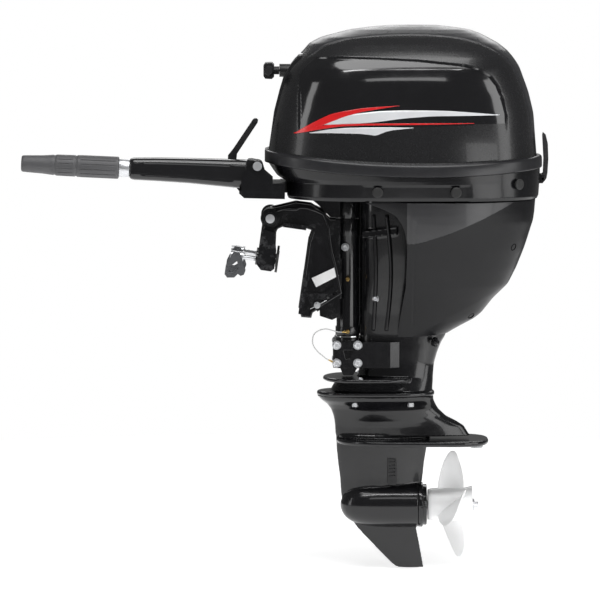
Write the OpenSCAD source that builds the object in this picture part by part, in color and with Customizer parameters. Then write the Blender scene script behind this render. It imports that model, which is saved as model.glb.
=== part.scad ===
// Outboard motor, four-stroke, short shaft, tiller steered, with transom clamp.
// Origin: top aft corner of the transom on the centreline.
// +X aft, +Y starboard, +Z up. Millimetres.

/* [Transom clamp] */
// Outside distance across the two clamp bracket plates
bracket_span = 124; // [120:1:128]
// Thickness of each clamp bracket plate
bracket_t = 12; // [10:0.5:12]
// Width of the front leg that carries a clamp screw
leg_w = 34; // [30:1:36]
// Outside diameter of the tilt tube
tilt_tube_d = 26; // [22:1:28]
// Bore of the tilt tube, takes a steering cable end
tilt_bore_d = 16; // [14:0.5:18]
// Diameter of the clamp screws
clamp_screw_d = 10; // [8:0.5:12]
// Diameter of the clamp pads
clamp_pad_d = 43; // [36:1:48]
// Diameter of the holes for transom bolts
transom_bolt_d = 9; // [8:0.5:10]

/* [Swivel and steering] */
// Outside diameter of the swivel tube
swivel_tube_d = 44; // [42:1:46]
// Diameter of the steering pivot shaft
pivot_shaft_d = 30; // [26:1:32]

/* [Tiller] */
// Diameter of the throttle grip at its inner end
grip_inner_d = 44; // [40:1:46]
// Diameter of the throttle grip at its outer end
grip_outer_d = 33; // [32:1:36]
// Diameter of the bright tiller collar
collar_d = 36; // [34:1:38]

/* [Powerhead] */
// Cylinder bore
cyl_bore_d = 60; // [54:1:66]
// Flywheel diameter
flywheel_d = 210; // [190:2:216]
// Diameter of the rope groove on the starter pulley
rope_pulley_d = 80; // [70:1:84]

/* [Cowling] */
// Wall of the moulded covers
cowl_wall = 4; // [3.5:0.25:5]
// Half width of the parting lip
lip_half_w = 185; // [183:1:186]
// Half length of the parting lip
lip_half_l = 278; // [277:1:279]

/* [Gearcase and propeller] */
// Diameter of the gearcase torpedo
torpedo_d = 90; // [86:1:94]
// Propeller diameter
prop_d = 236; // [210:2:236]
// Diameter of the propeller shaft
prop_shaft_d = 18; // [16:1:18]
// Diameter of the driveshaft
drive_shaft_d = 16; // [14:1:18]
// Thickness of the anti-ventilation plate
plate_t = 10; // [8:1:12]

/* [Hidden] */
$fn = 48;
lean = 8;
tilt_bx = -81.8;
tilt_bz = 13.3;
tilt_x = tilt_bx * cos(lean) + tilt_bz * sin(lean);
tilt_z = -tilt_bx * sin(lean) + tilt_bz * cos(lean);
plate_in = bracket_span / 2 - bracket_t;
plate_out = bracket_span / 2;
screw_y = 70;
screw_z = -70;
steer_x = 75;
crank_x = 136;
prop_z = -556;
tiller_y = -75;
fold_x = -104;
fold_z = 130;
grip_tilt = -87.4;
fit = 0.1;
gap = 0.4;

// ---------- helpers ----------

// Plate in the side plane, points are [x, z], spanning y0 to y1
module side_plate(pts, y0, y1) {
    translate([0, y1, 0])
    rotate([90, 0, 0])
    linear_extrude(height = y1 - y0)
    polygon(pts);
}

// Round bar along X
module bar_x(x0, x1, y, z, d) {
    translate([x0, y, z])
    rotate([0, 90, 0])
    cylinder(h = x1 - x0, d = d);
}

// Round bar along Y
module bar_y(x, y0, y1, z, d) {
    translate([x, y1, z])
    rotate([90, 0, 0])
    cylinder(h = y1 - y0, d = d);
}

// Round bar along Z
module bar_z(x, y, z0, z1, d) {
    translate([x, y, z0])
    cylinder(h = z1 - z0, d = d);
}

// Rectangular block between two corners
module block(a, b) {
    translate(a)
    cube([b[0] - a[0], b[1] - a[1], b[2] - a[2]]);
}

// Straight round rod between two points
module rod(a, b, d) {
    v = b - a;
    len = norm(v);
    translate(a)
    rotate([0, acos(v[2] / len), atan2(v[1], v[0])])
    cylinder(h = len, d = d, $fn = 16);
}

// Repeat on both sides of the centre plane
module both_sides() {
    children();
    mirror([0, 1, 0])
    children();
}

function sgn(v) = v < 0 ? -1 : 1;
function spow(v, p) = sgn(v) * pow(abs(v), p);
function mid(ring) = [for (k = [0:2])
    let (s = [for (p = ring) p[k]]) (max(s) + min(s)) / 2];

// Horizontal rounded section: front x, rear x, half width, height, squareness
function plan_ring(xf, xr, w, z, n, count) = [for (i = [0:count - 1])
    let (a = 360 * i / count)
    [(xf + xr) / 2 + (xr - xf) / 2 * spow(cos(a), 2 / n), w * spow(sin(a), 2 / n), z]];

function reversed(v) = [for (i = [len(v) - 1:-1:0]) v[i]];

// Lofted closed solid through equal-count rings, ends closed by fans
module skin(rings) {
    m = len(rings);
    n = len(rings[0]);
    pts = concat([for (r = rings) for (p = r) p], [mid(rings[0]), mid(rings[m - 1])]);
    walls = [for (j = [0:m - 2]) for (i = [0:n - 1])
        let (a = j * n + i, b = j * n + (i + 1) % n)
        each [[a, b + n, b], [a, a + n, b + n]]];
    foot = [for (i = [0:n - 1]) [m * n, i, (i + 1) % n]];
    head = [for (i = [0:n - 1]) [m * n + 1, (m - 1) * n + (i + 1) % n, (m - 1) * n + i]];
    polyhedron(points = pts, faces = concat(walls, foot, head), convexity = 8);
}

// Thick sheet between two equal grids of points
module sheet(outer, inner) {
    m = len(outer);
    n = len(outer[0]);
    pts = concat([for (r = outer) for (p = r) p], [for (r = inner) for (p = r) p]);
    k = m * n;
    faces_out = [for (j = [0:m - 2]) for (i = [0:n - 2])
        let (a = j * n + i)
        each [[a, a + n + 1, a + 1], [a, a + n, a + n + 1]]];
    faces_in = [for (f = faces_out) [f[0] + k, f[2] + k, f[1] + k]];
    low = [for (i = [0:n - 2]) each [[i, i + 1, k + i + 1], [i, k + i + 1, k + i]]];
    o = (m - 1) * n;
    high = [for (i = [0:n - 2])
        each [[o + i, k + o + i + 1, o + i + 1], [o + i, k + o + i, k + o + i + 1]]];
    left = [for (j = [0:m - 2]) let (a = j * n)
        each [[a, k + a, k + a + n], [a, k + a + n, a + n]]];
    right = [for (j = [0:m - 2]) let (a = j * n + n - 1)
        each [[a, k + a + n, k + a], [a, a + n, k + a + n]]];
    polyhedron(points = pts, faces = concat(faces_out, faces_in, low, high, left, right),
        convexity = 8);
}

// ---------- transom clamp ----------

bracket_outline = [
    [-59.8, 37.5], [-34.8, 39.1], [-27.4, 45.2], [-10.5, 46], [6.4, 43.3], [23.9, 38.3],
    [32.5, 24.4], [40, 7], [43.1, -9.3], [50.7, -33.3], [60.5, -57.1], [69.2, -81.2],
    [77.4, -105], [80.9, -115.8], [49.3, -142.5], [34.5, -156.1], [27.8, -162.1],
    [26.6, -172.3], [6.8, -173.5], [0, -159], [0, -23.8], [4.1, -4.7], [2, 1],
    [-7.9, 2.9], [-14, 0], [-54.4, 0], [-63.8, -5.9], [-66, -13.1], [-62.6, -49.2],
    [-60, -60], [-60, -84], [-66, -90], [-86, -90], [-95.8, -80], [-95.8, -3.8],
    [-98, 12], [-90, 26], [-76, 30]
];
trim_holes = [[34.6, -145.4], [45, -137.5], [55.6, -128.5], [66, -118.5]];
lever_slot = [
    [12, -30], [36, -30], [56, -84], [62, -104], [40, -122], [12, -122]
];
front_leg = [
    [-95.8, -8], [-68, -14], [-62.6, -49.2], [-60, -60], [-60, -84], [-66, -90],
    [-86, -90], [-95.8, -80]
];

// One bracket plate, built for the starboard side in the leaning frame
module bracket_solid() {
    difference() {
        union() {
            side_plate(bracket_outline, plate_in, plate_out);
            bar_y(tilt_bx, plate_in, plate_out + 0.01, tilt_bz, 38);
            side_plate(front_leg, plate_in, plate_in + leg_w);
            bar_x(-99, -80, screw_y, screw_z, 24);
            block([0, plate_in, -166], [9, plate_in + 36, -92]);
            block([-54, plate_in, 0], [-8, plate_in + 26, 9]);
        }
        translate([0, plate_out, 0])
        side_plate(lever_slot, -4, 10);
        bar_y(tilt_bx, plate_in - 1, plate_out + 1, tilt_bz, tilt_tube_d + 2 * fit);
        bar_x(-101, -50, screw_y, screw_z, clamp_screw_d + 2 * fit);
        for (z = [-152, -126])
            bar_x(-1, 12, screw_y + 4, z, transom_bolt_d);
        for (p = trim_holes)
            bar_y(p[0], plate_in - 1, plate_out + 1, p[1], 8.2);
    }
}

module clamp_bracket_port() {
    color([0.05, 0.05, 0.06])
    mirror([0, 1, 0])
    rotate([0, lean, 0])
    bracket_solid();
}

module clamp_bracket_starboard() {
    color([0.05, 0.05, 0.06])
    rotate([0, lean, 0])
    bracket_solid();
}

module tilt_tube() {
    color([0.8, 0.81, 0.83])
    translate([tilt_x, 0, tilt_z])
    difference() {
        bar_y(0, -84, 84, 0, tilt_tube_d);
        bar_y(0, -85, 85, 0, tilt_bore_d);
    }
}

module tilt_tube_nuts() {
    color([0.75, 0.76, 0.78])
    for (s = [-1, 1])
        translate([tilt_x, s * (plate_out + gap + 5), tilt_z])
        rotate([90, 0, 0])
        difference() {
            union() {
                cylinder(h = 10, d = 37, center = true, $fn = 6);
                translate([0, 0, s * 3.6])
                cylinder(h = 2.8, d = 38, center = true);
            }
            cylinder(h = 12, d = tilt_tube_d + 0.04, center = true);
        }
}

module trim_pin() {
    color([0.82, 0.83, 0.85])
    rotate([0, lean, 0])
    translate([trim_holes[0][0], 0, trim_holes[0][1]]) {
        bar_y(0, -74, 70, 0, 8);
        bar_y(0, -67, -62.6, 0, 13);
    }
}

module pad_solid() {
    difference() {
        union() {
            bar_x(-58.6, -55.4, screw_y, screw_z, clamp_pad_d);
            difference() {
                bar_x(-55.5, -54, screw_y, screw_z, clamp_pad_d);
                bar_x(-56, -53, screw_y, screw_z, clamp_pad_d - 12);
            }
        }
        bar_x(-59, -56.4, screw_y, screw_z, clamp_screw_d + 2 * fit);
    }
}

module screw_solid() {
    bar_x(-125, -56.6, screw_y, screw_z, clamp_screw_d);
    difference() {
        union() {
            bar_x(-150, -124, screw_y, screw_z, 19);
            bar_x(-127, -123.2, screw_y, screw_z, 22);
        }
        bar_y(-138, screw_y - 12, screw_y + 12, screw_z, 6.1);
    }
}

handle_outline = [
    [-147, -66], [-143, -61], [-133, -61], [-129, -66], [-116, -96], [-118, -104],
    [-124, -107], [-130, -104], [-136, -112], [-150, -114], [-156, -108], [-156, -92]
];

module handle_solid() {
    bar_y(-138, screw_y - 16, screw_y + 16, screw_z, 6);
    for (s = [-1, 1])
        translate([0, screw_y + s * 13.2, 0])
        difference() {
            side_plate(handle_outline, -2.2, 2.2);
            translate([-1, 0, 5])
            side_plate([[-146, -96], [-134, -84], [-128, -98], [-138, -106], [-148, -107]],
                -3, 3);
        }
    side_plate([[-156, -108], [-156, -92], [-151, -92], [-149, -108]],
        screw_y - 12, screw_y + 12);
    side_plate([[-130, -104], [-124, -107], [-118, -104], [-116, -96], [-123, -97]],
        screw_y - 12, screw_y + 12);
}

module clamp_pad_starboard() {
    color([0.6, 0.61, 0.63])
    rotate([0, lean, 0])
    pad_solid();
}

module clamp_pad_port() {
    color([0.6, 0.61, 0.63])
    mirror([0, 1, 0])
    rotate([0, lean, 0])
    pad_solid();
}

module clamp_screw_starboard() {
    color([0.8, 0.81, 0.83])
    rotate([0, lean, 0])
    screw_solid();
}

module clamp_screw_port() {
    color([0.8, 0.81, 0.83])
    mirror([0, 1, 0])
    rotate([0, lean, 0])
    screw_solid();
}

module clamp_handle_starboard() {
    color([0.1, 0.1, 0.11])
    rotate([0, lean, 0])
    handle_solid();
}

module clamp_handle_port() {
    color([0.1, 0.1, 0.11])
    mirror([0, 1, 0])
    rotate([0, lean, 0])
    handle_solid();
}

// ---------- swivel and steering ----------

arm_outline = [
    [-93, 16], [-91, 33], [-79, 42], [-66, 44], [-28, 53], [2, 49], [16, 40], [28, 30],
    [40, 19], [60, 19], [60, -176], [50, -170], [40, -120], [26, -60], [15, -20], [7, 5],
    [-6, 10], [-58, 17], [-70, 8], [-82, 7.6]
];
arm_window = [[-50, 26], [-28, 40], [0, 38], [12, 28], [18, 14], [8, 14], [-8, 18]];
web_outline = [[19.4, -140], [60, -140], [60, -172], [44, -180], [19.4, -172]];

module swivel_bracket() {
    color([0.05, 0.05, 0.06])
    difference() {
        union() {
            both_sides()
            side_plate(arm_outline, 32, 44);
            bar_y(tilt_x, -49.6, 49.6, tilt_z, 34);
            side_plate([[-60, 17], [-60, 30], [-30, 44], [-8, 44], [-8, 20]], -33, 33);
            side_plate(web_outline, -45, 45);
            side_plate([[30, -60], [60, -60], [60, -20], [18, -20]], -33, 33);
            bar_z(steer_x, 0, -214, 20, swivel_tube_d);
            bar_z(steer_x, 0, -214, -196, swivel_tube_d + 4);
            bar_z(steer_x, 0, -14, 20, swivel_tube_d + 4);
        }
        bar_z(steer_x, 0, 20.6, 70, 101);
        bar_y(tilt_x, -50, 50, tilt_z, tilt_tube_d + 2 * fit);
        bar_z(steer_x, 0, -215, 60, pivot_shaft_d + 2 * fit);
        both_sides()
        side_plate(arm_window, 40, 46);
        bar_y(24, -46, 46, -90, 8.2);
        bar_y(steer_x, -31, -20, -205, 5.02);
        bar_y(steer_x, -31, -20, -100, 5.02);
    }
}

module grease_nipples() {
    color([0.78, 0.6, 0.25])
    for (z = [-205, -100])
        translate([steer_x, 0, z]) {
            bar_y(0, -24.5, -20.6, 0, 5);
            bar_y(0, -30.5, z < -150 ? -27.2 : -22.3, 0, 8);
            bar_y(0, -36, -30.4, 0, 5.5);
            bar_y(0, -28, -20.6, 0, 5);
        }
}

module tilt_lock_lever() {
    color([0.55, 0.56, 0.58])
    difference() {
        union() {
            bar_y(24, -48, 48, -90, 8);
            side_plate([[19, -84], [29, -84], [30, -96], [27, -128], [21, -128], [18, -96]],
                -10, 10);
            bar_y(24, -10, 10, -128, 8);
        }
        bar_y(24, -11, 11, -128, 3);
    }
}

steer_outline = [
    [-50, 66], [-50, 73], [-30, 73.6], [-14.8, 70.6], [0.6, 61.4], [14.4, 50.6],
    [29.6, 35.4], [40, 24], [98, 24], [98, 58], [20, 62], [0, 74], [-20, 88],
    [-52, 96], [-74, 96], [-74, 66]
];
ledge_outline = [
    [-140, 76], [-130, 67], [-50, 65], [-50, 80], [-74, 82], [-140, 81]
];
ear_outline = [
    [-136, 76], [-128, 70], [-74, 70], [-74, 106], [-90, 120], [-93, 130],
    [-96.2, 137.8], [-104, 141], [-111.8, 137.8], [-126, 124], [-136, 100]
];
lever_ear = [
    [-172, 118], [-168, 112], [-140, 76], [-122, 76], [-143, 126], [-148, 135],
    [-156, 139], [-165, 135], [-169, 126]
];

module steering_bracket() {
    color([0.05, 0.05, 0.06])
    difference() {
        union() {
            bar_z(steer_x, 0, -270, 26, pivot_shaft_d);
            bar_z(steer_x, 0, 21, 58, 48);
            intersection() {
                side_plate(steer_outline, -31, 31);
                union() {
                    block([-80, -34, 20], [60, 34, 96]);
                    bar_z(steer_x, 0, 20, 96, 48);
                }
            }
            side_plate(ledge_outline, -108, 30);
            side_plate([[-78, 66], [-50, 66], [-50, 96], [-78, 96]], -108, 30);
            side_plate(ear_outline, -107, -101.4);
            side_plate(ear_outline, -48.6, -43);
            side_plate(lever_ear, -48.6, -43);
        }
        bar_y(fold_x, -108, -40, fold_z, 12 + 2 * fit);
        bar_y(-156, -52, -36, 126, 10 + 2 * fit);
    }
}

module tiller_pivot_pin() {
    color([0.8, 0.81, 0.83])
    union() {
        bar_y(fold_x, -107.2, -40, fold_z, 12);
        bar_y(fold_x, -111, -107.2, fold_z, 18);
    }
}

yoke_plan = [
    [46, -40], [56, -50], [160, -50], [178, -40], [178, 40], [160, 50], [56, 50], [46, 40]
];

module lower_mount_housing() {
    color([0.05, 0.05, 0.06])
    difference() {
        union() {
            translate([0, 0, -276])
            linear_extrude(height = 52)
            polygon(yoke_plan);
            bar_z(steer_x, 0, -224, -217, 48);
            both_sides()
            side_plate([[60, -276], [66, -290], [86, -290], [94, -276]], 38, 48);
        }
        block([97, -37.4, -300], [190, 37.4, -200]);
        bar_z(steer_x, 0, -280, -200, pivot_shaft_d + 0.06);
        both_sides()
        side_plate([[66, -240], [84, -240], [80, -258], [70, -258]], 44, 52);
    }
}

module mount_bolts() {
    color([0.78, 0.79, 0.81])
    for (s = [-1, 1])
        for (x = [53, 95])
            for (z = [-230, -266])
                translate([x, s * 50.3, z])
                rotate([s * -90, 0, 0])
                difference() {
                    union() {
                        cylinder(h = 2, d = 18);
                        translate([0, 0, 1.9])
                        cylinder(h = 6, d = 15, $fn = 6);
                    }
                    translate([0, 0, 6.5])
                    cylinder(h = 3, d = 6);
                }
}

// ---------- leg ----------

leg_stations = [
    [72, 101, 292, 62, 3], [40, 101, 288, 60, 3], [-20, 101, 284, 54, 2.8],
    [-100, 101, 279, 46, 2.6], [-170, 100.5, 273, 38, 2.5], [-214, 100, 271, 35, 2.4],
    [-228, 100, 262, 35, 2.4], [-249, 100, 254, 35, 2.4], [-270, 100, 248, 35, 2.4],
    [-296, 96, 246, 38, 2.4], [-304, 52, 246, 44, 2.4], [-318, 44, 245, 50, 2.4],
    [-326, 40, 245, 54, 2.4]
];
splash_plan = [
    [26, 0], [30, -30], [42, -56], [62, -74], [90, -82], [150, -82], [180, -72],
    [198, -52], [198, 52], [180, 72], [150, 82], [90, 82], [62, 74], [42, 56], [30, 30]
];
flange_plan = [
    [14, 0], [20, -26], [36, -44], [60, -56], [100, -60], [180, -60], [220, -50],
    [240, -34], [248, -16], [248, 16], [240, 34], [220, 50], [180, 60], [100, 60],
    [60, 56], [36, 44], [20, 26]
];

module exhaust_housing() {
    color([0.06, 0.06, 0.07])
    difference() {
        union() {
            skin([for (s = reversed(leg_stations)) plan_ring(s[1], s[2], s[3], s[0], s[4], 36)]);
            translate([0, 0, -303])
            linear_extrude(height = 7)
            polygon(splash_plan);
            translate([0, 0, -334])
            linear_extrude(height = 9)
            polygon(flange_plan);
            both_sides() {
                bar_y(250, 24, 46, -226, 16);
                bar_y(250, 46, 56, -226, 9);
            }
        }
        bar_z(crank_x, 0, -340, 80, 26);
        bar_z(crank_x, 0, -340, -286, 74);
        bar_z(218, 0, -340, 80, 46);
        bar_z(178, -18, -340, 80, 12.2);
        bar_y(252, -60, 60, -225, 4);
    }
}

// ---------- gearcase ----------

neck_stations = [
    [-338, 14, 247, 60, 2.3], [-343, 22, 247, 56, 2.3], [-352, 34, 251, 46, 2.2],
    [-362, 42, 257, 38, 2.1], [-376, 47, 272, 33, 2], [-386, 49, 292, 30, 1.9],
    [-396, 50, 308, 29, 1.8], [-412, 51, 318, 29, 1.8], [-417, 52, 322, 29, 1.8]
];
strut_stations = [
    [-417, 52, 240, 29, 1.7], [-440, 53, 234, 27, 1.7], [-470, 56, 229, 25, 1.7],
    [-500, 60, 226, 24, 1.7], [-530, 62, 222, 24, 1.7], [-560, 66, 214, 22, 1.7]
];
plate_plan = [
    [54, 0], [58, -22], [70, -44], [96, -66], [130, -78], [220, -82], [300, -78],
    [330, -68], [348, -50], [356, -24], [357, 0], [356, 24], [348, 50], [330, 68],
    [300, 78], [220, 82], [130, 78], [96, 66], [70, 44], [58, 22]
];
skeg_outline = [
    [78, -580], [96, -604], [162, -673], [174, -682], [186, -684], [229, -682],
    [222, -640], [214, -590], [200, -580]
];
nose_profile = [
    [0, 0], [10, 2], [20, 7], [29, 16], [36, 29], [41, 46], [44, 70], [45, 100],
    [45, 154], [44.4, 156], [0, 156]
];
grille_plan = [
    [155, -459], [173, -462], [174, -510], [171, -514], [158, -513], [155, -509]
];

module gearcase() {
    color([0.05, 0.05, 0.06])
    difference() {
        union() {
            skin([for (s = reversed(neck_stations)) plan_ring(s[1], s[2], s[3], s[0], s[4], 32)]);
            skin([for (s = reversed(strut_stations)) plan_ring(s[1], s[2], s[3], s[0], s[4], 32)]);
            translate([0, 0, -426 - plate_t / 2])
            linear_extrude(height = plate_t)
            polygon(plate_plan);
            translate([61, 0, prop_z])
            rotate([0, 90, 0])
            rotate_extrude()
            polygon([for (p = nose_profile) [p[0] * torpedo_d / 90, p[1]]]);
            side_plate(skeg_outline, -4, 4);
            side_plate([[84, -580], [100, -604], [206, -604], [204, -580]], -7, 7);
        }
        bar_z(crank_x, 0, -500, -330, 26);
        bar_z(crank_x, 0, -356, -330, 58);
        bar_x(106.4, 218, 0, prop_z, 76);
        bar_x(84, 107, 0, prop_z, 48);
        bar_x(217, 240, 0, prop_z, 92);
        bar_z(crank_x, 0, -540, -498, 44);
        bar_z(218, 0, -400, -330, 40);
        both_sides()
        bar_y(crank_x + 28, 14, 34, -486, 8);
        for (x = [90, 201])
            for (s = [-1, 1])
                bar_z(x, s * 44, -365, -346, 15);
        bar_z(334, 0, -440, -424, 6);
    }
}

module gearcase_bolts() {
    color([0.78, 0.79, 0.81])
    for (x = [90, 201])
        for (s = [-1, 1])
            translate([x, s * 44, -346.05])
            rotate([180, 0, 0])
            difference() {
                cylinder(h = 8, d = 12, $fn = 6);
                translate([0, 0, 6.5])
                cylinder(h = 3, d = 5);
            }
}

module anode() {
    color([0.7, 0.71, 0.72])
    translate([334, 0, -431 - 0.1])
    difference() {
        union() {
            translate([0, 0, -9.5])
            cylinder(h = 9.5, d1 = 24, d2 = 30);
            cylinder(h = 6, d = 5.9);
        }
        translate([0, 0, -10])
        cylinder(h = 3, d = 9);
    }
}

module water_inlet_grilles() {
    color([0.09, 0.09, 0.1])
    both_sides()
    difference() {
        side_plate(grille_plan, 25.3, 27.5);
        for (x = [159.5, 164, 168.5])
            for (z = [-466, -473, -480, -487, -494])
                bar_y(x, 24, 28, z, 2.6);
        bar_y(164, 26.5, 28, -504, 6);
    }
}

module water_pump_housing() {
    color([0.35, 0.36, 0.38])
    difference() {
        union() {
            bar_z(crank_x, 0, -334, -304, 60);
            bar_z(crank_x, 0, -304.1, -294, 40);
            bar_z(crank_x, 0, -337.6, -334, 68);
        }
        bar_z(crank_x, 0, -338, -310, 44);
        bar_z(crank_x, 0, -311, -293, 17);
    }
}

module water_pump_impeller() {
    color([0.1, 0.1, 0.1])
    translate([crank_x, 0, -332])
    difference() {
        union() {
            cylinder(h = 18, d = 26);
            for (k = [0:5])
                rotate([0, 0, 60 * k])
                translate([-1.6, 12, 0])
                cube([3.2, 9.4, 18]);
        }
        translate([0, 0, -1])
        cylinder(h = 20, d = drive_shaft_d + 0.04);
    }
}

module bearing_carrier() {
    color([0.12, 0.12, 0.13])
    difference() {
        union() {
            bar_x(188, 217.2, 0, prop_z, 75.8);
            bar_x(217.2, 226, 0, prop_z, 90);
            bar_x(226, 234, 0, prop_z, 82);
        }
        bar_x(187, 235, 0, prop_z, prop_shaft_d + 2 * fit);
        for (k = [0:2])
            translate([0, 0, prop_z])
            rotate([120 * k + 60, 0, 0])
            bar_x(186, 236, 0, 27, 14);
    }
}

module driveshaft() {
    color([0.7, 0.71, 0.73])
    bar_z(crank_x, 0, prop_z + 27, 98, drive_shaft_d);
}

module pinion_gear() {
    color([0.6, 0.6, 0.62])
    translate([crank_x, 0, prop_z + 26.5])
    difference() {
        union() {
            cylinder(h = 7.5, r1 = 10.7, r2 = 14.4);
            translate([0, 0, 7.4])
            cylinder(h = 14, d = 26);
            for (k = [0:12])
                rotate([0, 0, 360 * k / 13])
                translate([10, -0.9, 0.4])
                rotate([0, 25.7, 0])
                cube([2.2, 1.8, 7.4]);
        }
        translate([0, 0, -1])
        cylinder(h = 24, d = drive_shaft_d + 0.04);
    }
}

// Bevel gear on the propeller axis, teeth toward +X
module bevel(x) {
    translate([x, 0, prop_z])
    rotate([0, 90, 0])
    difference() {
        union() {
            cylinder(h = 11.3, r = 34);
            translate([0, 0, 11.2])
            cylinder(h = 3.3, r1 = 34, r2 = 27);
            translate([0, 0, -8])
            cylinder(h = 9, d = 40);
            for (k = [0:26])
                rotate([0, 0, 360 * k / 27])
                translate([34, -0.9, 10.6])
                rotate([0, -64.3, 0])
                cube([1.7, 1.8, 7.4]);
        }
        translate([0, 0, -10])
        cylinder(h = 40, d = prop_shaft_d + 0.1);
        translate([0, 0, 11])
        cylinder(h = 8, d = 42);
    }
}

module forward_gear() {
    color([0.6, 0.6, 0.62])
    bevel(107);
}

module reverse_gear() {
    color([0.6, 0.6, 0.62])
    translate([2 * crank_x, 0, 0])
    mirror([1, 0, 0])
    bevel(107);
}

module dog_clutch() {
    color([0.55, 0.56, 0.6])
    difference() {
        bar_x(126, 146, 0, prop_z, 32);
        bar_x(125, 147, 0, prop_z, prop_shaft_d + 0.1);
        difference() {
            bar_x(132, 140, 0, prop_z, 34);
            bar_x(131, 141, 0, prop_z, 26);
        }
        for (k = [0:2])
            translate([0, 0, prop_z])
            rotate([120 * k, 0, 0]) {
                block([125, 10, -3], [128, 20, 3]);
                block([144, 10, -3], [147, 20, 3]);
            }
    }
}

module shift_rod() {
    color([0.7, 0.71, 0.73])
    bar_z(178, -18, -300, 70, 8);
    bar_z(178, -18, -306, -294, 11);
}

module propeller_shaft() {
    color([0.75, 0.76, 0.78])
    difference() {
        union() {
            bar_x(86, 250, 0, prop_z, prop_shaft_d);
            bar_x(249, 338, 0, prop_z, 12);
        }
        bar_x(85, 90, 0, prop_z, 5);
    }
}

blade_stations = [
    [26, 24, 46, 5], [40, 30, 40, 4.6], [56, 37, 34, 4], [72, 42, 29, 3.4],
    [88, 43, 25, 2.9], [102, 37, 22, 2.4], [112, 25, 20, 1.8], [118, 9, 19, 1.2]
];

// Section of a blade at one radius, half chord, pitch angle and half thickness
function blade_ring(r, c, a, t, count) = [for (i = [0:count - 1])
    let (q = 360 * i / count, u = c * cos(q), v = -t * sin(q),
        arc = (u * cos(a) - v * sin(a)) / r * 180 / PI + 10 * (r - 26) / 92,
        x = 280 + u * sin(a) + v * cos(a) + 0.05 * (r - 26),
        rr = r * (prop_d / 236))
    [x, rr * sin(arc), rr * cos(arc)]];

module propeller() {
    color([0.93, 0.93, 0.92])
    difference() {
        union() {
            translate([236, 0, prop_z])
            rotate([0, 90, 0])
            rotate_extrude()
            polygon([[0, 0], [31, 0], [33, 8], [33, 60], [34, 74], [38, 89], [0, 89]]);
            for (k = [0:2])
                translate([0, 0, prop_z])
                rotate([120 * k - 26, 0, 0])
                skin([for (s = blade_stations) blade_ring(s[0], s[1], s[2], s[3], 16)]);
        }
        bar_x(235, 330, 0, prop_z, 12.04);
        bar_x(235, 250.2, 0, prop_z, prop_shaft_d + 0.04);
        difference() {
            bar_x(296, 330, 0, prop_z, 60);
            bar_x(294, 316, 0, prop_z, 34);
            for (k = [0:2])
                translate([0, 0, prop_z])
                rotate([120 * k, 0, 0])
                block([290, 0, -3], [316, 40, 3]);
        }
        difference() {
            bar_x(230, 286, 0, prop_z, 56);
            bar_x(229, 287, 0, prop_z, 34);
            for (k = [0:2])
                translate([0, 0, prop_z])
                rotate([120 * k, 0, 0])
                block([228, 0, -3], [288, 40, 3]);
        }
    }
}

module propeller_nut() {
    color([0.75, 0.76, 0.78])
    difference() {
        union() {
            bar_x(316.4, 319, 0, prop_z, 30);
            translate([318.9, 0, prop_z])
            rotate([0, 90, 0])
            cylinder(h = 11, d = 24, $fn = 6);
        }
        bar_x(315, 331, 0, prop_z, 12.04);
        block([326, -13, prop_z - 1.5], [331, 13, prop_z + 1.5]);
    }
}

// ---------- cowling ----------

// Plan ring that also sags along the length like the parting line
function seam_ring(s, inset, drop, count) = [
    for (p = plan_ring(s[1] + inset, s[2] - inset, s[3] - inset, s[0] - drop, s[4], count))
    [p[0], p[1], p[2] + s[5] * pow((p[0] - 230) / 322, 2)]];

tub_stations = [
    [63, -44, 452, 168, 2.7, 0], [69, -47, 455, 172, 2.7, 0], [97, -48.5, 457, 176, 2.6, 0],
    [103, -66, 457.5, 177, 2.6, 6], [111.6, -84, 458, 178, 2.6, 24]
];

module bottom_cowl() {
    color([0.07, 0.07, 0.08])
    difference() {
        union() {
            skin(concat(
                [for (i = [0:4]) seam_ring(tub_stations[i], 0, 0, 44)],
                [for (i = [4:-1:0]) seam_ring(tub_stations[i], cowl_wall,
                    i < 2 ? -cowl_wall : (i == 4 ? 0 : -2), 44)]));
            both_sides()
            side_plate([[454, 91], [463, 91], [468, 97], [468, 104], [463, 109], [454, 109]],
                16, 20);
            bar_x(-46, -32, 90, 82, 30);
        }
        block([98, -66, 60], [298, 66, 72]);
        block([-60, -36, 60], [30, 36, 98]);
        bar_y(463.5, -22, 22, 100, 5.2);
        bar_x(-50, -20, 90, 82, 16.1);
        both_sides()
        for (x = [132, 286])
            bar_y(x, 160, 190, 82, 14.2);
        both_sides()
        translate([408, 129, 96])
        rotate([-90, 0, -39])
        translate([0, 0, -20])
        cylinder(h = 40, d = 14.2);
    }
}

module plug_solid() {
    translate([0, 0, -7])
    cylinder(h = 10, d = 14);
    translate([0, 0, 1.8])
    cylinder(h = 2.2, d = 21);
    translate([0, 0, 4])
    cylinder(h = 1.4, d1 = 21, d2 = 17);
}

module cowl_plugs() {
    color([0.04, 0.04, 0.04])
    both_sides() {
        translate([132, 172, 82])
        rotate([-90, 0, 0])
        plug_solid();
        translate([286, 172, 82])
        rotate([-90, 0, 0])
        plug_solid();
        translate([408, 129, 96])
        rotate([-90, 0, -39])
        translate([0, 0, 3])
        plug_solid();
    }
}

apron_stations = [
    [-214, 174, 181, 277, 56], [-206, 174.5, 181.5, 290, 60], [-196, 175.5, 182, 308, 65],
    [-184, 177, 184, 331, 71], [-171, 179, 186, 346, 78], [-140, 184, 191, 367, 94],
    [-110, 189, 196, 395, 110], [-76, 190, 197, 412, 126], [-38, 191, 198, 427, 142],
    [-20, 190, 197, 433, 148], [3, 186, 194, 440, 155], [18, 180, 192, 445, 159],
    [36, 168, 190, 447.5, 163], [50, 140, 190, 448.5, 165], [61, 108, 190, 449.5, 166]
];

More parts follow.
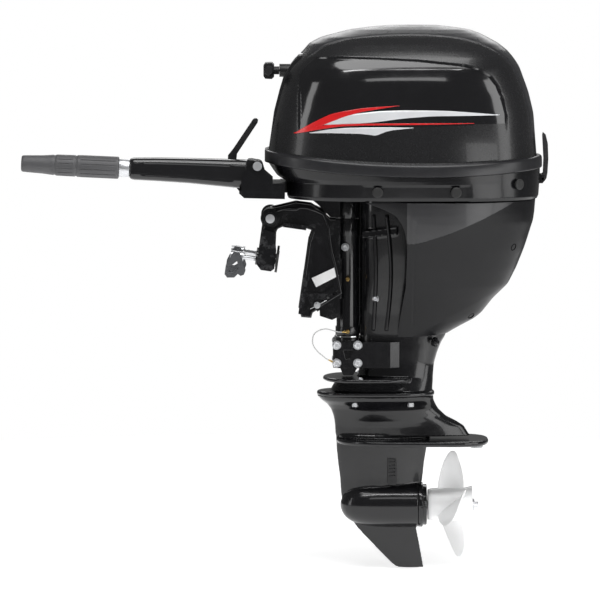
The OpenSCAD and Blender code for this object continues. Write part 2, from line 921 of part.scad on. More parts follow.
// One row of the apron from the rear centreline to the front edge
function apron_row(s, inset) = concat(
    [for (i = [0:18]) let (a = 90 * i / 18)
        [s[2] + (s[3] - inset - s[2]) * pow(cos(a), 0.87) + (i == 0 ? 0 : 0),
            0.3 + (s[4] - inset - 0.3) * pow(sin(a), 0.87), s[0]]],
    [[(s[1] + s[2]) / 2, s[4] - inset - 0.5, s[0]], [s[1], s[4] - inset - 1.5, s[0]]]);

module apron_solid() {
    difference() {
        sheet([for (s = apron_stations) apron_row(s, 0)],
            [for (s = apron_stations) apron_row(s, cowl_wall)]);
        translate([402, 118, -32])
        rotate([-90, 0, -42])
        translate([0, 0, -40])
        cylinder(h = 80, d = 7);
    }
}

module apron_starboard() {
    color([0.13, 0.13, 0.14])
    apron_solid();
}

module apron_port() {
    color([0.13, 0.13, 0.14])
    mirror([0, 1, 0])
    apron_solid();
}

top_stations = [
    [112, 184 - lip_half_l, 184 + lip_half_l, lip_half_w, 2.6, 24],
    [133.5, 184 - lip_half_l, 184 + lip_half_l, lip_half_w, 2.6, 24],
    [136, 187 - lip_half_l, 181 + lip_half_l, lip_half_w - 2.5, 2.6, 24],
    [137.5, -85, 451, 176.5, 2.6, 24], [180, -81, 448, 176, 2.6, 12],
    [232, -73, 444.5, 174, 2.6, 0], [275, -62, 434, 171, 2.55, 0],
    [302, -54, 424, 166, 2.5, 0], [324, -43, 416, 158, 2.5, 0],
    [342, -26, 404, 146, 2.5, 0], [356, -13, 392, 131, 2.45, 0],
    [370, -1, 374, 113, 2.4, 0], [382, 22, 352, 92, 2.3, 0],
    [390, 52, 336, 72, 2.2, 0], [397, 80, 316, 50, 2.2, 0],
    [402, 118, 282, 31, 2.1, 0], [405.6, 160, 250, 14, 2, 0]
];

module top_cowl() {
    color([0.03, 0.03, 0.035])
    difference() {
        skin(concat(
            [for (i = [16:-1:4]) seam_ring(top_stations[i], cowl_wall,
                i > 8 ? cowl_wall : (i > 5 ? 2 : 0), 48)],
            [seam_ring([137.5, -84, 450, 175.5, 2.6, 24], cowl_wall, 0, 48),
                seam_ring([112, -84, 450, 175.5, 2.6, 24], cowl_wall, 0, 48)],
            [for (i = [0:16]) seam_ring(top_stations[i], 0, 0, 48)]));
        block([-130, -52, 90], [30, 52, 350]);
        both_sides()
        for (z = [352, 362])
            block([-60, 20, z], [20, 46, z + 4]);
    }
}

panel_outline = [
    [-90, 137], [-90, 158], [-82, 161], [-72, 232], [-61, 275], [-53, 302], [-43, 321],
    [-30, 338], [-22, 346], [-14, 346], [-24, 334], [-36, 318], [-47, 298], [-55, 272],
    [-66, 230], [-77, 158], [-77, 137]
];

module front_panel() {
    color([0.05, 0.05, 0.055])
    difference() {
        union() {
            side_plate(panel_outline, -50, 50);
            bar_x(-61, -38, 0, 315, 26);
        }
        bar_x(-63, -30, 0, 315, 7);
        for (i = [0:5])
            translate([0, 0, 178 + 18 * i])
            both_sides()
            side_plate([[-95, 0], [-40, 5], [-40, 11], [-95, 6]], 6, 42);
    }
}

module cowl_latch() {
    color([0.06, 0.06, 0.07])
    union() {
        side_plate([[459.3, 98], [460.4, 95.8], [463.5, 94.4], [467.6, 95.6], [471, 101],
            [473, 112], [474.6, 140],
            [473.4, 170], [469, 188], [464.6, 192], [463.4, 186], [464.4, 168],
            [466, 140], [465, 112], [460, 104]], -15, 15);
        bar_y(463.5, -20, 20, 100, 5);
    }
}

module fuel_connector() {
    color([0.7, 0.71, 0.73])
    translate([0, 90, 82])
    difference() {
        union() {
            bar_x(-60, -24, 0, 0, 10);
            bar_x(-50, -46.4, 0, 0, 26);
            bar_x(-46.4, -28, 0, 0, 16);
            bar_x(-64, -58, 0, 0, 8);
        }
        bar_x(-65, -20, 0, 0, 4);
    }
    color([0.7, 0.71, 0.73])
    bar_x(-60, -46.4, 90, 92, 4);
}

lead_path = [
    [71, -37, -205], [55, -42, -204], [30, -46, -198], [10, -48, -206],
    [5, -50, -224], [13, -53, -240], [32, -56, -256], [44, -58, -262]
];

function unit(v) = v / norm(v);

// Ring of points around a path point, square to the local run of the path
function wire_ring(path, k, r, count) =
    let (m = len(path) - 1, a = path[max(k - 1, 0)], b = path[min(k + 1, m)],
        t = unit(b - a), u = unit(cross([0.1, 1, 0.2], t)), w = cross(t, u))
    [for (i = [0:count - 1]) path[k] + r * cos(360 * i / count) * u
        + r * sin(360 * i / count) * w];

module bonding_lead() {
    color([0.9, 0.9, 0.88])
    skin([for (k = [0:len(lead_path) - 1]) wire_ring(lead_path, k, 1.1, 10)]);
}

// ---------- powerhead ----------

module cylinder_block() {
    color([0.3, 0.31, 0.33])
    difference() {
        union() {
            block([62, -70, 80], [204, 70, 246]);
            block([200, -60, 86], [330, 60, 242]);
            block([92, -62, 72.4], [300, 62, 86]);
            block([322, -70, 84], [330, 70, 244]);
            bar_z(crank_x, 0, 240, 250, 250);
            for (z = [100:16:228])
                block([206, -68, z], [318, 68, z + 3]);
        }
        for (z = [125, 203]) {
            bar_z(crank_x, 0, z - 25, z + 25, 112);
            bar_x(150, 331, 0, z, cyl_bore_d);
        }
        bar_z(crank_x, 0, 70, 252, 36);
        bar_z(218, 0, 60, 82, 46);
        bar_z(178, -18, 60, 90, 14);
    }
}

module crankshaft() {
    color([0.6, 0.61, 0.63])
    difference() {
        union() {
            bar_z(crank_x, 0, 78, 106, 35.9);
            bar_z(crank_x, 0, 144, 184, 35.9);
            bar_z(crank_x, 0, 222, 256, 35.9);
            bar_z(crank_x, 0, 255.9, 300, 24);
            for (z = [125, 203])
                for (s = [-1, 1])
                    translate([crank_x, 0, z + s * 15 - 4])
                    linear_extrude(height = 8)
                    intersection() {
                        circle(r = 50);
                        polygon([[-46, -40], [-46, 40], [0, 48], [40, 22], [44, 0],
                            [40, -22], [0, -48]]);
                    }
            bar_z(crank_x + 26, 0, 108, 142, 26);
            bar_z(crank_x + 26, 0, 186, 220, 26);
        }
        bar_z(crank_x, 0, 77, 100, drive_shaft_d + 0.06);
    }
}

module cylinder_head() {
    color([0.33, 0.34, 0.36])
    difference() {
        union() {
            block([330.4, -70, 84], [366, 70, 244]);
            block([366, -62, 92], [396, 62, 236]);
            block([396, -56, 98], [404, 56, 230]);
        }
        for (z = [125, 203]) {
            bar_x(330, 342, 0, z, cyl_bore_d - 4);
            bar_x(340, 410, -34, z, 14.1);
        }
    }
}

module spark_plugs() {
    color([0.9, 0.9, 0.88])
    for (z = [125, 203]) {
        bar_x(341, 400, -34, z, 14);
        translate([404.1, -34, z])
        rotate([0, 90, 0])
        cylinder(h = 7, d = 18, $fn = 6);
        bar_x(399, 404.2, -34, z, 13);
        bar_x(411, 428, -34, z, 9);
    }
}

module pistons() {
    color([0.7, 0.71, 0.73])
    for (z = [125, 203])
        difference() {
            bar_x(196, 246, 0, z, cyl_bore_d - 0.1);
            bar_x(195, 238, 0, z, 50);
            for (x = [228, 234, 240])
                difference() {
                    bar_x(x, x + 2, 0, z, 64);
                    bar_x(x - 1, x + 3, 0, z, 56);
                }
            bar_y(214, -40, 40, z, 14);
        }
}

module carburettor() {
    color([0.4, 0.41, 0.43])
    difference() {
        union() {
            bar_y(262, -96, -68.4, 150, 40);
            block([240, -110, 126], [284, -92, 174]);
            bar_y(262, -134, -110, 150, 44);
            bar_z(262, -122, 104, 132, 40);
            block([110, -148, 128], [240, -108, 196]);
            bar_x(238, 246, -128, 150, 36);
        }
        bar_y(262, -130, -60, 150, 26);
    }
}

module flywheel() {
    color([0.2, 0.2, 0.21])
    difference() {
        union() {
            bar_z(crank_x, 0, 262, 292, flywheel_d);
            bar_z(crank_x, 0, 256.4, 263, 50);
            bar_z(crank_x, 0, 292, 300, 70);
            for (k = [0:47])
                rotate([0, 0, 0])
                translate([crank_x, 0, 264])
                rotate([0, 0, 7.5 * k])
                translate([flywheel_d / 2 - 1, -1.6, 0])
                cube([3.6, 3.2, 8]);
        }
        bar_z(crank_x, 0, 255, 301, 24.04);
        difference() {
            bar_z(crank_x, 0, 261, 280, flywheel_d - 20);
            bar_z(crank_x, 0, 260, 281, 64);
        }
        for (k = [0:5])
            translate([crank_x, 0, 270])
            rotate([0, 0, 60 * k])
            translate([68, 0, 0])
            cylinder(h = 30, d = 22);
    }
}

module recoil_housing() {
    color([0.08, 0.08, 0.09])
    difference() {
        union() {
            bar_z(crank_x, 0, 250.4, 304, 250);
            translate([crank_x, 0, 304])
            cylinder(h = 30, d1 = 206, d2 = 176);
            bar_z(crank_x, 0, 334, 344, 90);
        }
        bar_z(crank_x, 0, 249, 300, 238);
        translate([crank_x, 0, 299])
        cylinder(h = 32, d1 = 200, d2 = 166);
        for (k = [0:2])
            translate([crank_x, 0, 249])
            rotate([0, 0, 120 * k])
            block([60, -70, 0], [140, 70, 44]);
        bar_z(crank_x, 0, 328, 346, 20);
        bar_x(20, 60, 0, 315, 12);
        for (k = [0:11])
            translate([crank_x, 0, 325])
            rotate([0, 0, 30 * k])
            block([52, -3.5, 0], [76, 3.5, 12]);
    }
}

module recoil_pulley() {
    color([0.85, 0.85, 0.83])
    difference() {
        union() {
            bar_z(crank_x, 0, 306, 327, rope_pulley_d + 12);
            bar_z(crank_x, 0, 327, 333, 19.9);
        }
        difference() {
            bar_z(crank_x, 0, 309, 321, rope_pulley_d + 14);
            bar_z(crank_x, 0, 308, 322, rope_pulley_d - 8);
        }
        bar_z(crank_x, 0, 305, 312, 40);
    }
}

module recoil_rope() {
    color([0.85, 0.84, 0.8])
    bar_x(-84, crank_x - rope_pulley_d / 2 + 2, 0, 315, 5);
}

module recoil_handle() {
    color([0.05, 0.05, 0.05])
    difference() {
        union() {
            side_plate([[-92.6, 305], [-89, 299.6], [-76, 299], [-71.6, 303], [-71.6, 327],
                [-76, 331], [-89, 330.4], [-92.6, 325]], -36, 36);
            both_sides()
            translate([-82, 36, 315])
            rotate([-90, 0, 0])
            cylinder(h = 9, d1 = 21, d2 = 15);
            bar_x(-72, -61.4, 0, 315, 16);
        }
        bar_x(-84.2, -60, 0, 315, 5.4);
        for (y = [-27, -18, 18, 27])
            block([-94, y - 1.5, 298], [-90.5, y + 1.5, 332]);
    }
}

// ---------- tiller ----------

arm_stations = [
    [-356, 104, 143, 19], [-352, 102, 145, 21.5], [-300, 99, 145.5, 23],
    [-240, 95, 144.5, 24], [-180, 89, 143, 25], [-150, 86, 142, 25],
    [-124, 84, 141, 25], [-120, 87, 138, 23]
];

// Section across the tiller arm, bottom and top heights and half width
function arm_ring(s, count) = [for (i = [0:count - 1])
    let (a = 360 * i / count)
    [s[0], tiller_y + s[3] * spow(cos(a), 0.62),
        (s[1] + s[2]) / 2 + (s[2] - s[1]) / 2 * spow(sin(a), 0.62)]];

// Frame of the grip: +Z runs outward along the tube
module grip_frame() {
    translate([-378, tiller_y, 125])
    rotate([0, grip_tilt, 0])
    children();
}

module tiller_arm() {
    color([0.06, 0.06, 0.065])
    difference() {
        union() {
            skin([for (s = arm_stations) arm_ring(s, 32)]);
            side_plate([[-126, 92], [-126, 139], [-104, 141], [-96.2, 137.8], [-93, 130],
                [-96.2, 122.2], [-104, 119], [-116, 89]], -100.4, -49.6);
        }
        bar_y(fold_x, -102, -48, fold_z, 12 + 2 * fit);
        grip_frame()
        translate([0, 0, -66])
        cylinder(h = 50, d = 26.04);
        bar_y(-330, -66, -40, 123, 10.4);
        translate([0, tiller_y, 0])
        side_plate([[-340, 90], [-340, 112], [-150, 106], [-150, 80]], -16, 16);
    }
}

module tiller_tube() {
    color([0.82, 0.83, 0.85])
    grip_frame()
    difference() {
        union() {
            translate([0, 0, -60])
            cylinder(h = 244, d = 26);
            translate([0, 0, -21])
            cylinder(h = 21, d = collar_d);
        }
        translate([0, 0, -61])
        cylinder(h = 246, d = 18);
    }
}

module throttle_grip() {
    color([0.22, 0.22, 0.23])
    grip_frame()
    rotate_extrude()
    polygon([[13.1, 0.4], [grip_inner_d / 2 - 1, 0.4], [grip_inner_d / 2, 3],
        [grip_inner_d / 2, 60], [21.6, 82], [20.4, 83], [20.4, 86], [21.4, 87],
        [21, 124], [19.4, 125.5], [19.4, 128], [20, 129.5], [18.2, 150],
        [grip_outer_d / 2 + 0.6, 176], [grip_outer_d / 2, 190],
        [grip_outer_d / 2 - 2.5, 193.2], [0, 193.2], [0, 187], [13.1, 187]]);
}

module stop_button() {
    color([0.8, 0.08, 0.06])
    union() {
        bar_y(-330, -58.4, -48.6, 123, 10);
        bar_y(-330, -48.7, -45.4, 123, 18);
    }
}

module shift_lever() {
    color([0.07, 0.07, 0.08])
    union() {
        side_plate([[-164, 120], [-160, 112], [-152, 112], [-148, 120], [-145, 151],
            [-104, 213], [-103, 219], [-107, 222], [-113, 220], [-152, 162], [-163, 148]],
            -42.6, -36.6);
        bar_y(-156, -50, -36.6, 126, 10);
        bar_y(-109, -46, -33, 217, 9);
    }
}

clamp_bracket_port();
clamp_bracket_starboard();
tilt_tube();
tilt_tube_nuts();
trim_pin();
clamp_pad_port();
clamp_screw_port();
clamp_handle_port();
clamp_pad_starboard();
clamp_screw_starboard();
clamp_handle_starboard();
swivel_bracket();
grease_nipples();
tilt_lock_lever();
steering_bracket();
tiller_pivot_pin();
lower_mount_housing();
mount_bolts();
exhaust_housing();
gearcase();
gearcase_bolts();
anode();
water_inlet_grilles();
water_pump_housing();
bearing_carrier();
bottom_cowl();
apron_port();
apron_starboard();
cowl_plugs();
cylinder_block();
cylinder_head();
pistons();
carburettor();
spark_plugs();
recoil_housing();
recoil_pulley();
recoil_rope();
front_panel();
fuel_connector();
bonding_lead();
crankshaft();
flywheel();
driveshaft();
pinion_gear();
water_pump_impeller();
forward_gear();
reverse_gear();
dog_clutch();
shift_rod();
propeller_shaft();
propeller();
propeller_nut();
shift_lever();
tiller_arm();
tiller_tube();
throttle_grip();
stop_button();
top_cowl();
cowl_latch();
recoil_handle();
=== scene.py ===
import math

import bmesh
import bpy
import numpy as np
from mathutils import Matrix, Vector


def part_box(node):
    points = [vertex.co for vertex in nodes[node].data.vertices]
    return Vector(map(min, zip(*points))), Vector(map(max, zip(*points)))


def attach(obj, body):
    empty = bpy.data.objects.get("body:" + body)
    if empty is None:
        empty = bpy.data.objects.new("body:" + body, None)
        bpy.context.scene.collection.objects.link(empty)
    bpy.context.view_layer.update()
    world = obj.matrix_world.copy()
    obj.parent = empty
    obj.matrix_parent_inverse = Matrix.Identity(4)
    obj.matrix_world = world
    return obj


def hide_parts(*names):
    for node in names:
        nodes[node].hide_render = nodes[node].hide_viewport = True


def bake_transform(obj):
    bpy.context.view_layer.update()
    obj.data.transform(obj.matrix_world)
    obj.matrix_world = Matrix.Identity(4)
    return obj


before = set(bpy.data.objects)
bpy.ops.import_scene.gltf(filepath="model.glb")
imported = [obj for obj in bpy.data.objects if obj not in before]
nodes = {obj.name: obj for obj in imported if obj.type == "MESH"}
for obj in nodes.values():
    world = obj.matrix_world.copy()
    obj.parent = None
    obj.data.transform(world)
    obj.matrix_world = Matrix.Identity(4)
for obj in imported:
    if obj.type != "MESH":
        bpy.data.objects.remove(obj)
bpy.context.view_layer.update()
MM = 0.001


# ---------- materials ----------

RELIEF_DEPTH = 0.001
PEEL_SCALE = 160.0


def new_material(name):
    m = bpy.data.materials.new(name)
    m.use_nodes = True
    tree = m.node_tree
    tree.nodes.clear()
    out = tree.nodes.new("ShaderNodeOutputMaterial")
    bsdf = tree.nodes.new("ShaderNodeBsdfPrincipled")
    tree.links.new(bsdf.outputs["BSDF"], out.inputs["Surface"])
    return m, tree, bsdf


def noise(tree, coords, scale, detail, rough):
    n = tree.nodes.new("ShaderNodeTexNoise")
    n.inputs["Scale"].default_value = scale
    n.inputs["Detail"].default_value = detail
    n.inputs["Roughness"].default_value = rough
    tree.links.new(coords.outputs["Object"], n.inputs["Vector"])
    return n


def span(tree, src, lo, hi, from_lo=0.3, from_hi=0.7):
    """Map a value from one range to another."""
    r = tree.nodes.new("ShaderNodeMapRange")
    r.inputs["From Min"].default_value = from_lo
    r.inputs["From Max"].default_value = from_hi
    r.inputs["To Min"].default_value = lo
    r.inputs["To Max"].default_value = hi
    tree.links.new(src, r.inputs["Value"])
    return r.outputs["Result"]


def mix_color(tree, fac, a, b):
    """Mix two colours, each a tuple or an output socket."""
    x = tree.nodes.new("ShaderNodeMix")
    x.data_type = "RGBA"
    tree.links.new(fac, x.inputs["Factor"])
    for socket, value in ((6, a), (7, b)):
        if isinstance(value, tuple):
            x.inputs[socket].default_value = (*value, 1.0)
        else:
            tree.links.new(value, x.inputs[socket])
    return x.outputs[2]


def multiply(tree, a, b):
    """Product of an output socket with another socket or a number."""
    node = tree.nodes.new("ShaderNodeMath")
    node.operation = "MULTIPLY"
    tree.links.new(a, node.inputs[0])
    if isinstance(b, float):
        node.inputs[1].default_value = b
    else:
        tree.links.new(b, node.inputs[1])
    return node.outputs[0]


def relief(tree, height, strength, below=None):
    """Bump from a height output, on top of the normal of another bump if one is given."""
    node = tree.nodes.new("ShaderNodeBump")
    node.inputs["Strength"].default_value = strength
    node.inputs["Distance"].default_value = RELIEF_DEPTH
    tree.links.new(height, node.inputs["Height"])
    if below:
        tree.links.new(below, node.inputs["Normal"])
    return node.outputs["Normal"]


def surface(name, color, rough, metal=0.0, coat=0.0, spread=0.08, vary=0.15, grain=900.0,
            bump=0.02, blotch=9.0, wear=0.0, wear_color=(0.5, 0.5, 0.52), orange=0.0, ior=1.5):
    """Painted, metal, rubber or plastic surface with fine grain, uneven gloss and worn edges."""
    m, tree, bsdf = new_material(name)
    coords = tree.nodes.new("ShaderNodeTexCoord")
    wide = noise(tree, coords, blotch, 5.0, 0.6)
    fine = noise(tree, coords, grain, 3.0, 0.6)
    dark = tuple(c * (1 - vary) for c in color)
    light = tuple(min(1.0, c * (1 + vary) + 0.004 * vary) for c in color)
    col = mix_color(tree, span(tree, wide.outputs["Fac"], 0, 1), dark, light)
    rough_lo, rough_hi = max(0.02, rough - spread), min(1.0, rough + spread)
    scratch = noise(tree, coords, blotch * 6, 6.0, 0.7)
    r_out = span(tree, scratch.outputs["Fac"], rough_lo, rough_hi)
    if wear > 0:
        geo = tree.nodes.new("ShaderNodeNewGeometry")
        edge = span(tree, geo.outputs["Pointiness"], 0, 1, 0.53, 0.62)
        chips = span(tree, scratch.outputs["Fac"], 0, 1, 0.52, 0.64)
        bare = multiply(tree, multiply(tree, edge, chips), wear)
        col = mix_color(tree, bare, col, wear_color)
    tree.links.new(col, bsdf.inputs["Base Color"])
    tree.links.new(r_out, bsdf.inputs["Roughness"])
    bsdf.inputs["Metallic"].default_value = metal
    bsdf.inputs["IOR"].default_value = ior
    if coat:
        bsdf.inputs["Coat Weight"].default_value = coat
        bsdf.inputs["Coat Roughness"].default_value = 0.04
    normal = relief(tree, fine.outputs["Fac"], bump)
    if orange:
        peel = noise(tree, coords, PEEL_SCALE, 2.0, 0.5)
        normal = relief(tree, peel.outputs["Fac"], orange, normal)
    tree.links.new(normal, bsdf.inputs["Normal"])
    return m


MAT = {
    "cowl": surface("cowl_gloss", (0.006, 0.006, 0.007), 0.13, coat=0.6, spread=0.03, bump=0.003,
        orange=0.012, vary=0.2),
    # Flank and spine: rougher finishes in lighter copies of the cowl black; the lighter tone is
    # painted reflection on the flanks and a painted highlight on the spine.
    "flank": surface("cowl_flank_painted_reflection", (0.011, 0.011, 0.012), 0.27, coat=0.2, spread=0.02, bump=0.001,
        vary=0.08),
    "lip": surface("lip_satin", (0.016, 0.016, 0.018), 0.34, spread=0.06, bump=0.05, vary=0.2),
    "spine": surface("spine_satin_painted_highlight", (0.022, 0.022, 0.024), 0.3, spread=0.05, bump=0.04),
    "tray": surface("tray_gloss", (0.006, 0.006, 0.007), 0.24, coat=0.15, ior=1.4, spread=0.03,
        bump=0.002, orange=0.006),
    "apron": surface("apron_dark", (0.007, 0.007, 0.008), 0.32, spread=0.03, bump=0.002,
        orange=0.004, ior=1.33),
    # Lighter copy of the apron black for the facet above the crease: a painted highlight for the
    # light that facet catches, not a colour of its own.
    "apron_painted_highlight": surface("apron_grey", (0.026, 0.026, 0.028), 0.36, coat=0.15, spread=0.03,
        bump=0.002, orange=0.004),
    "paint": surface("casting_black", (0.006, 0.006, 0.007), 0.2, coat=0.4, spread=0.06, ior=1.4,
        bump=0.01, orange=0.02, wear=0.3, wear_color=(0.12, 0.12, 0.125)),
    "leg": surface("leg_black", (0.007, 0.007, 0.008), 0.22, coat=0.12, spread=0.05, ior=1.36,
        bump=0.006, orange=0.012, wear=0.2, wear_color=(0.1, 0.1, 0.105)),
    "plastic": surface("black_plastic", (0.012, 0.012, 0.013), 0.42, spread=0.08, bump=0.12,
        grain=1400),
    "rubber": surface("black_rubber", (0.013, 0.013, 0.013), 0.6, spread=0.1, bump=0.2, grain=1100),
    "grip": surface("grip_rubber", (0.09, 0.09, 0.094), 0.5, spread=0.1, bump=0.22, grain=1300,
        vary=0.1, blotch=30),
    "steel": surface("bright_steel", (0.74, 0.75, 0.77), 0.3, metal=0.75, spread=0.03, bump=0.006,
        grain=1800, vary=0.05),
    "chrome": surface("chrome_tube", (0.78, 0.79, 0.8), 0.1, metal=1.0, spread=0.04, bump=0.008,
        grain=1600, vary=0.04),
    "zinc": surface("zinc_bolt", (0.2, 0.205, 0.215), 0.3, metal=0.8, spread=0.04, bump=0.003,
        vary=0.08, blotch=40),
    "gear": surface("machined_steel", (0.42, 0.43, 0.45), 0.26, metal=1.0, spread=0.1, bump=0.03,
        vary=0.1),
    "iron": surface("cast_iron", (0.07, 0.07, 0.072), 0.5, metal=0.8, spread=0.1, bump=0.25,
        grain=700),
    "cast": surface("cast_aluminium", (0.3, 0.305, 0.32), 0.45, metal=0.9, spread=0.12, bump=0.25,
        grain=800, vary=0.14),
    "anode": surface("anode_zinc", (0.4, 0.41, 0.42), 0.55, metal=0.7, spread=0.15, bump=0.4,
        grain=500, vary=0.2),
    "brass": surface("brass_fitting", (0.62, 0.43, 0.16), 0.25, metal=1.0, spread=0.1, bump=0.04,
        vary=0.15, blotch=70),
    "white": surface("white_plastic", (0.72, 0.72, 0.7), 0.38, spread=0.08, bump=0.04, vary=0.05),
    "prop": surface("prop_white", (0.94, 0.943, 0.945), 0.34, coat=0.25, spread=0.06, bump=0.02,
        orange=0.05, vary=0.04),
    "red": surface("red_decal", (0.66, 0.012, 0.014), 0.24, coat=0.5, spread=0.05, bump=0.01,
        vary=0.1),
    "silver": surface("silver_decal", (0.72, 0.73, 0.75), 0.32, metal=0.15, coat=0.3, spread=0.06,
        bump=0.03, grain=2400, vary=0.08),
    "arm": surface("arm_black", (0.009, 0.009, 0.01), 0.17, coat=0.4, spread=0.04, bump=0.008,
        orange=0.01),
    "lead": surface("lead_grey", (0.55, 0.55, 0.55), 0.4, spread=0.06, bump=0.03),
    # Near-black and barely reflective: painted shade for the apron screw recesses.
    "recess": surface("screw_recess_painted_shade", (0.0015, 0.0015, 0.0015), 0.8, ior=1.15),
    "button": surface("red_button", (0.5, 0.02, 0.015), 0.35, spread=0.06, bump=0.04),
    "label": surface("blank_label", (0.86, 0.86, 0.86), 0.4, spread=0.06, bump=0.03, vary=0.05),
}


def rope_material():
    """Braided cord: crossing diagonal waves for colour and relief."""
    m, tree, bsdf = new_material("braided_rope")
    coords = tree.nodes.new("ShaderNodeTexCoord")
    waves = []
    for turn in (0.9, -0.9):
        mp = tree.nodes.new("ShaderNodeMapping")
        mp.inputs["Rotation"].default_value = (turn, 0.0, turn)
        w = tree.nodes.new("ShaderNodeTexWave")
        w.inputs["Scale"].default_value = 260.0
        w.inputs["Distortion"].default_value = 0.6
        tree.links.new(coords.outputs["Object"], mp.inputs["Vector"])
        tree.links.new(mp.outputs["Vector"], w.inputs["Vector"])
        waves.append(w)
    mx = tree.nodes.new("ShaderNodeMath")
    mx.operation = "MAXIMUM"
    tree.links.new(waves[0].outputs["Fac"], mx.inputs[0])
    tree.links.new(waves[1].outputs["Fac"], mx.inputs[1])
    col = mix_color(tree, mx.outputs[0], (0.12, 0.12, 0.12), (0.6, 0.58, 0.52))
    tree.links.new(col, bsdf.inputs["Base Color"])
    bsdf.inputs["Roughness"].default_value = 0.75
    tree.links.new(relief(tree, mx.outputs[0], 0.5), bsdf.inputs["Normal"])
    return m


MAT["rope"] = rope_material()


# ---------- mesh helpers ----------

def new_object(name, data):
    """Object of some data, linked to the scene."""
    ob = bpy.data.objects.new(name, data)
    bpy.context.scene.collection.objects.link(ob)
    return ob


def make_mesh(name, verts, faces, mat, smooth=True):
    """Mesh object from points in metres."""
    me = bpy.data.meshes.new(name)
    me.from_pydata([tuple(map(float, v)) for v in verts], [], faces)
    me.validate()
    me.update()
    if smooth:
        me.polygons.foreach_set("use_smooth", [True] * len(me.polygons))
    me.materials.append(MAT[mat])
    return new_object(name, me)


def grid_faces(rows, cols, wrap=False, flip=False):
    faces = []
    last = cols if wrap else cols - 1
    for j in range(rows - 1):
        for i in range(last):
            a = j * cols + i
            b = j * cols + (i + 1) % cols
            f = (a, b, b + cols, a + cols)
            faces.append(tuple(reversed(f)) if flip else f)
    return faces


def place(ob, body, replace=()):
    """Put a piece on a body and the CAD nodes that it stands for."""
    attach(ob, body)
    if replace:
        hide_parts(*replace)


def shade(ob, angle=35.0):
    """Mark edges sharper than the angle as sharp and shade the rest smooth."""
    me = ob.data
    me.polygons.foreach_set("use_smooth", [True] * len(me.polygons))
    bm = bmesh.new()
    bm.from_mesh(me)
    limit = math.radians(angle)
    for e in bm.edges:
        if len(e.link_faces) == 2:
            e.smooth = e.calc_face_angle(0.0) < limit
    bm.to_mesh(me)
    bm.free()


def bevel(ob, width):
    """Round the edges of an object by a width in mm."""
    w = ob.modifiers.new("weld", "WELD")
    w.merge_threshold = 0.00002
    b = ob.modifiers.new("edge", "BEVEL")
    b.width = width * MM
    b.segments = 2
    b.limit_method = "ANGLE"
    b.angle_limit = math.radians(28)
    b.harden_normals = True
    b.use_clamp_overlap = True


def spow(v, p):
    """Power of the magnitude with the sign kept, for rounded-square rings."""
    return np.sign(v) * np.abs(v) ** p


def ramp(a, b, v):
    """Smooth step from 0 at a to 1 at b."""
    t = np.clip((v - a) / (b - a), 0, 1)
    return t * t * (3 - 2 * t)


def soften(a, width):
    """Gaussian smoothing along the first axis, ends held."""
    n = int(width * 3) + 1
    k = np.exp(-0.5 * (np.arange(-n, n + 1) / max(width, 1e-6)) ** 2)
    k /= k.sum()
    p = np.concatenate([np.repeat(a[:1], n, 0), a, np.repeat(a[-1:], n, 0)])
    return np.stack([np.convolve(p[:, c], k, "valid") for c in range(a.shape[1])], 1)


def dense(stations, count, width):
    """Resample a station table by arc length and round its corners."""
    s = np.array(stations, float)
    scale = np.array([1, 1, 1, 1] + [0] * (s.shape[1] - 4))
    d = np.sqrt((((s[1:] - s[:-1]) * scale) ** 2).sum(1))
    t = np.concatenate([[0], np.cumsum(d)]) / d.sum()
    q = np.linspace(0, 1, count)
    out = np.stack([np.interp(q, t, s[:, c]) for c in range(s.shape[1])], 1)
    return soften(out, width)


SEAM_MID_X = 230
SEAM_HALF_X = 322


def plan_rings(st, cols):
    """Rounded plan rings from rows of z, front x, rear x, half width, squareness, sag."""
    a = around(cols)
    rings = []
    for r in st:
        x = (r[1] + r[2]) / 2 + (r[2] - r[1]) / 2 * spow(np.cos(a), 2 / r[4])
        y = r[3] * spow(np.sin(a), 2 / r[4])
        sag = r[5] if len(r) > 5 else 0.0
        z = r[0] + sag * ((x - SEAM_MID_X) / SEAM_HALF_X) ** 2
        rings.append(np.stack([x, y, z], 1))
    return np.array(rings)


def around(count):
    """Angles spaced evenly round a full turn."""
    return np.linspace(0, 2 * math.pi, count, endpoint=False)


def add_fan(verts, faces, ring_start, cols, point, flip):
    verts.append(point)
    c = len(verts) - 1
    for i in range(cols):
        a, b = ring_start + i, ring_start + (i + 1) % cols
        faces.append((c, b, a) if flip else (c, a, b))


def loft(rings, name, mat):
    """Closed loft through rings of equal count, counter-clockwise about the way they advance."""
    rows, cols = rings.shape[0], rings.shape[1]
    verts = [tuple(p) for r in rings for p in r * MM]
    faces = grid_faces(rows, cols, wrap=True)
    add_fan(verts, faces, 0, cols, tuple(rings[0].mean(0) * MM), True)
    add_fan(verts, faces, (rows - 1) * cols, cols, tuple(rings[-1].mean(0) * MM), False)
    return make_mesh(name, verts, faces, mat)


def lathe(profile, name, mat, matrix, cols=96, ripple=None):
    """Closed lathe about local +Z from rows of radius, height; matrix places it."""
    a = around(cols)
    rings = []
    for r, h in profile:
        rr = np.full(cols, max(r, 0.01))
        if ripple is not None:
            rr = rr - ripple(a, h, r)
        rings.append(np.stack([rr * np.cos(a), rr * np.sin(a), np.full(cols, h)], 1))
    ob = loft(np.array(rings), name, mat)
    ob.data.transform(matrix)
    return ob


def facing(at, way):
    """Matrix carrying local +Z to a direction, from a point in mm."""
    turn = Vector(way).to_track_quat("Z", "Y").to_matrix().to_4x4()
    return Matrix.Translation(Vector(at) * MM) @ turn


def frame_x(x, y, z):
    """Matrix carrying local +Z to world +X, from a point in mm."""
    return Matrix.Translation(Vector((x, y, z)) * MM) @ Matrix.Rotation(math.pi / 2, 4, "Y")


def catmull(a, b, c, d, t):
    """Point at t between b and c on the smooth curve through four points."""
    return 0.5 * (2 * b + (c - a) * t + (2 * a - 5 * b + 4 * c - d) * t * t
                  + (3 * b - a - 3 * c + d) * t ** 3)


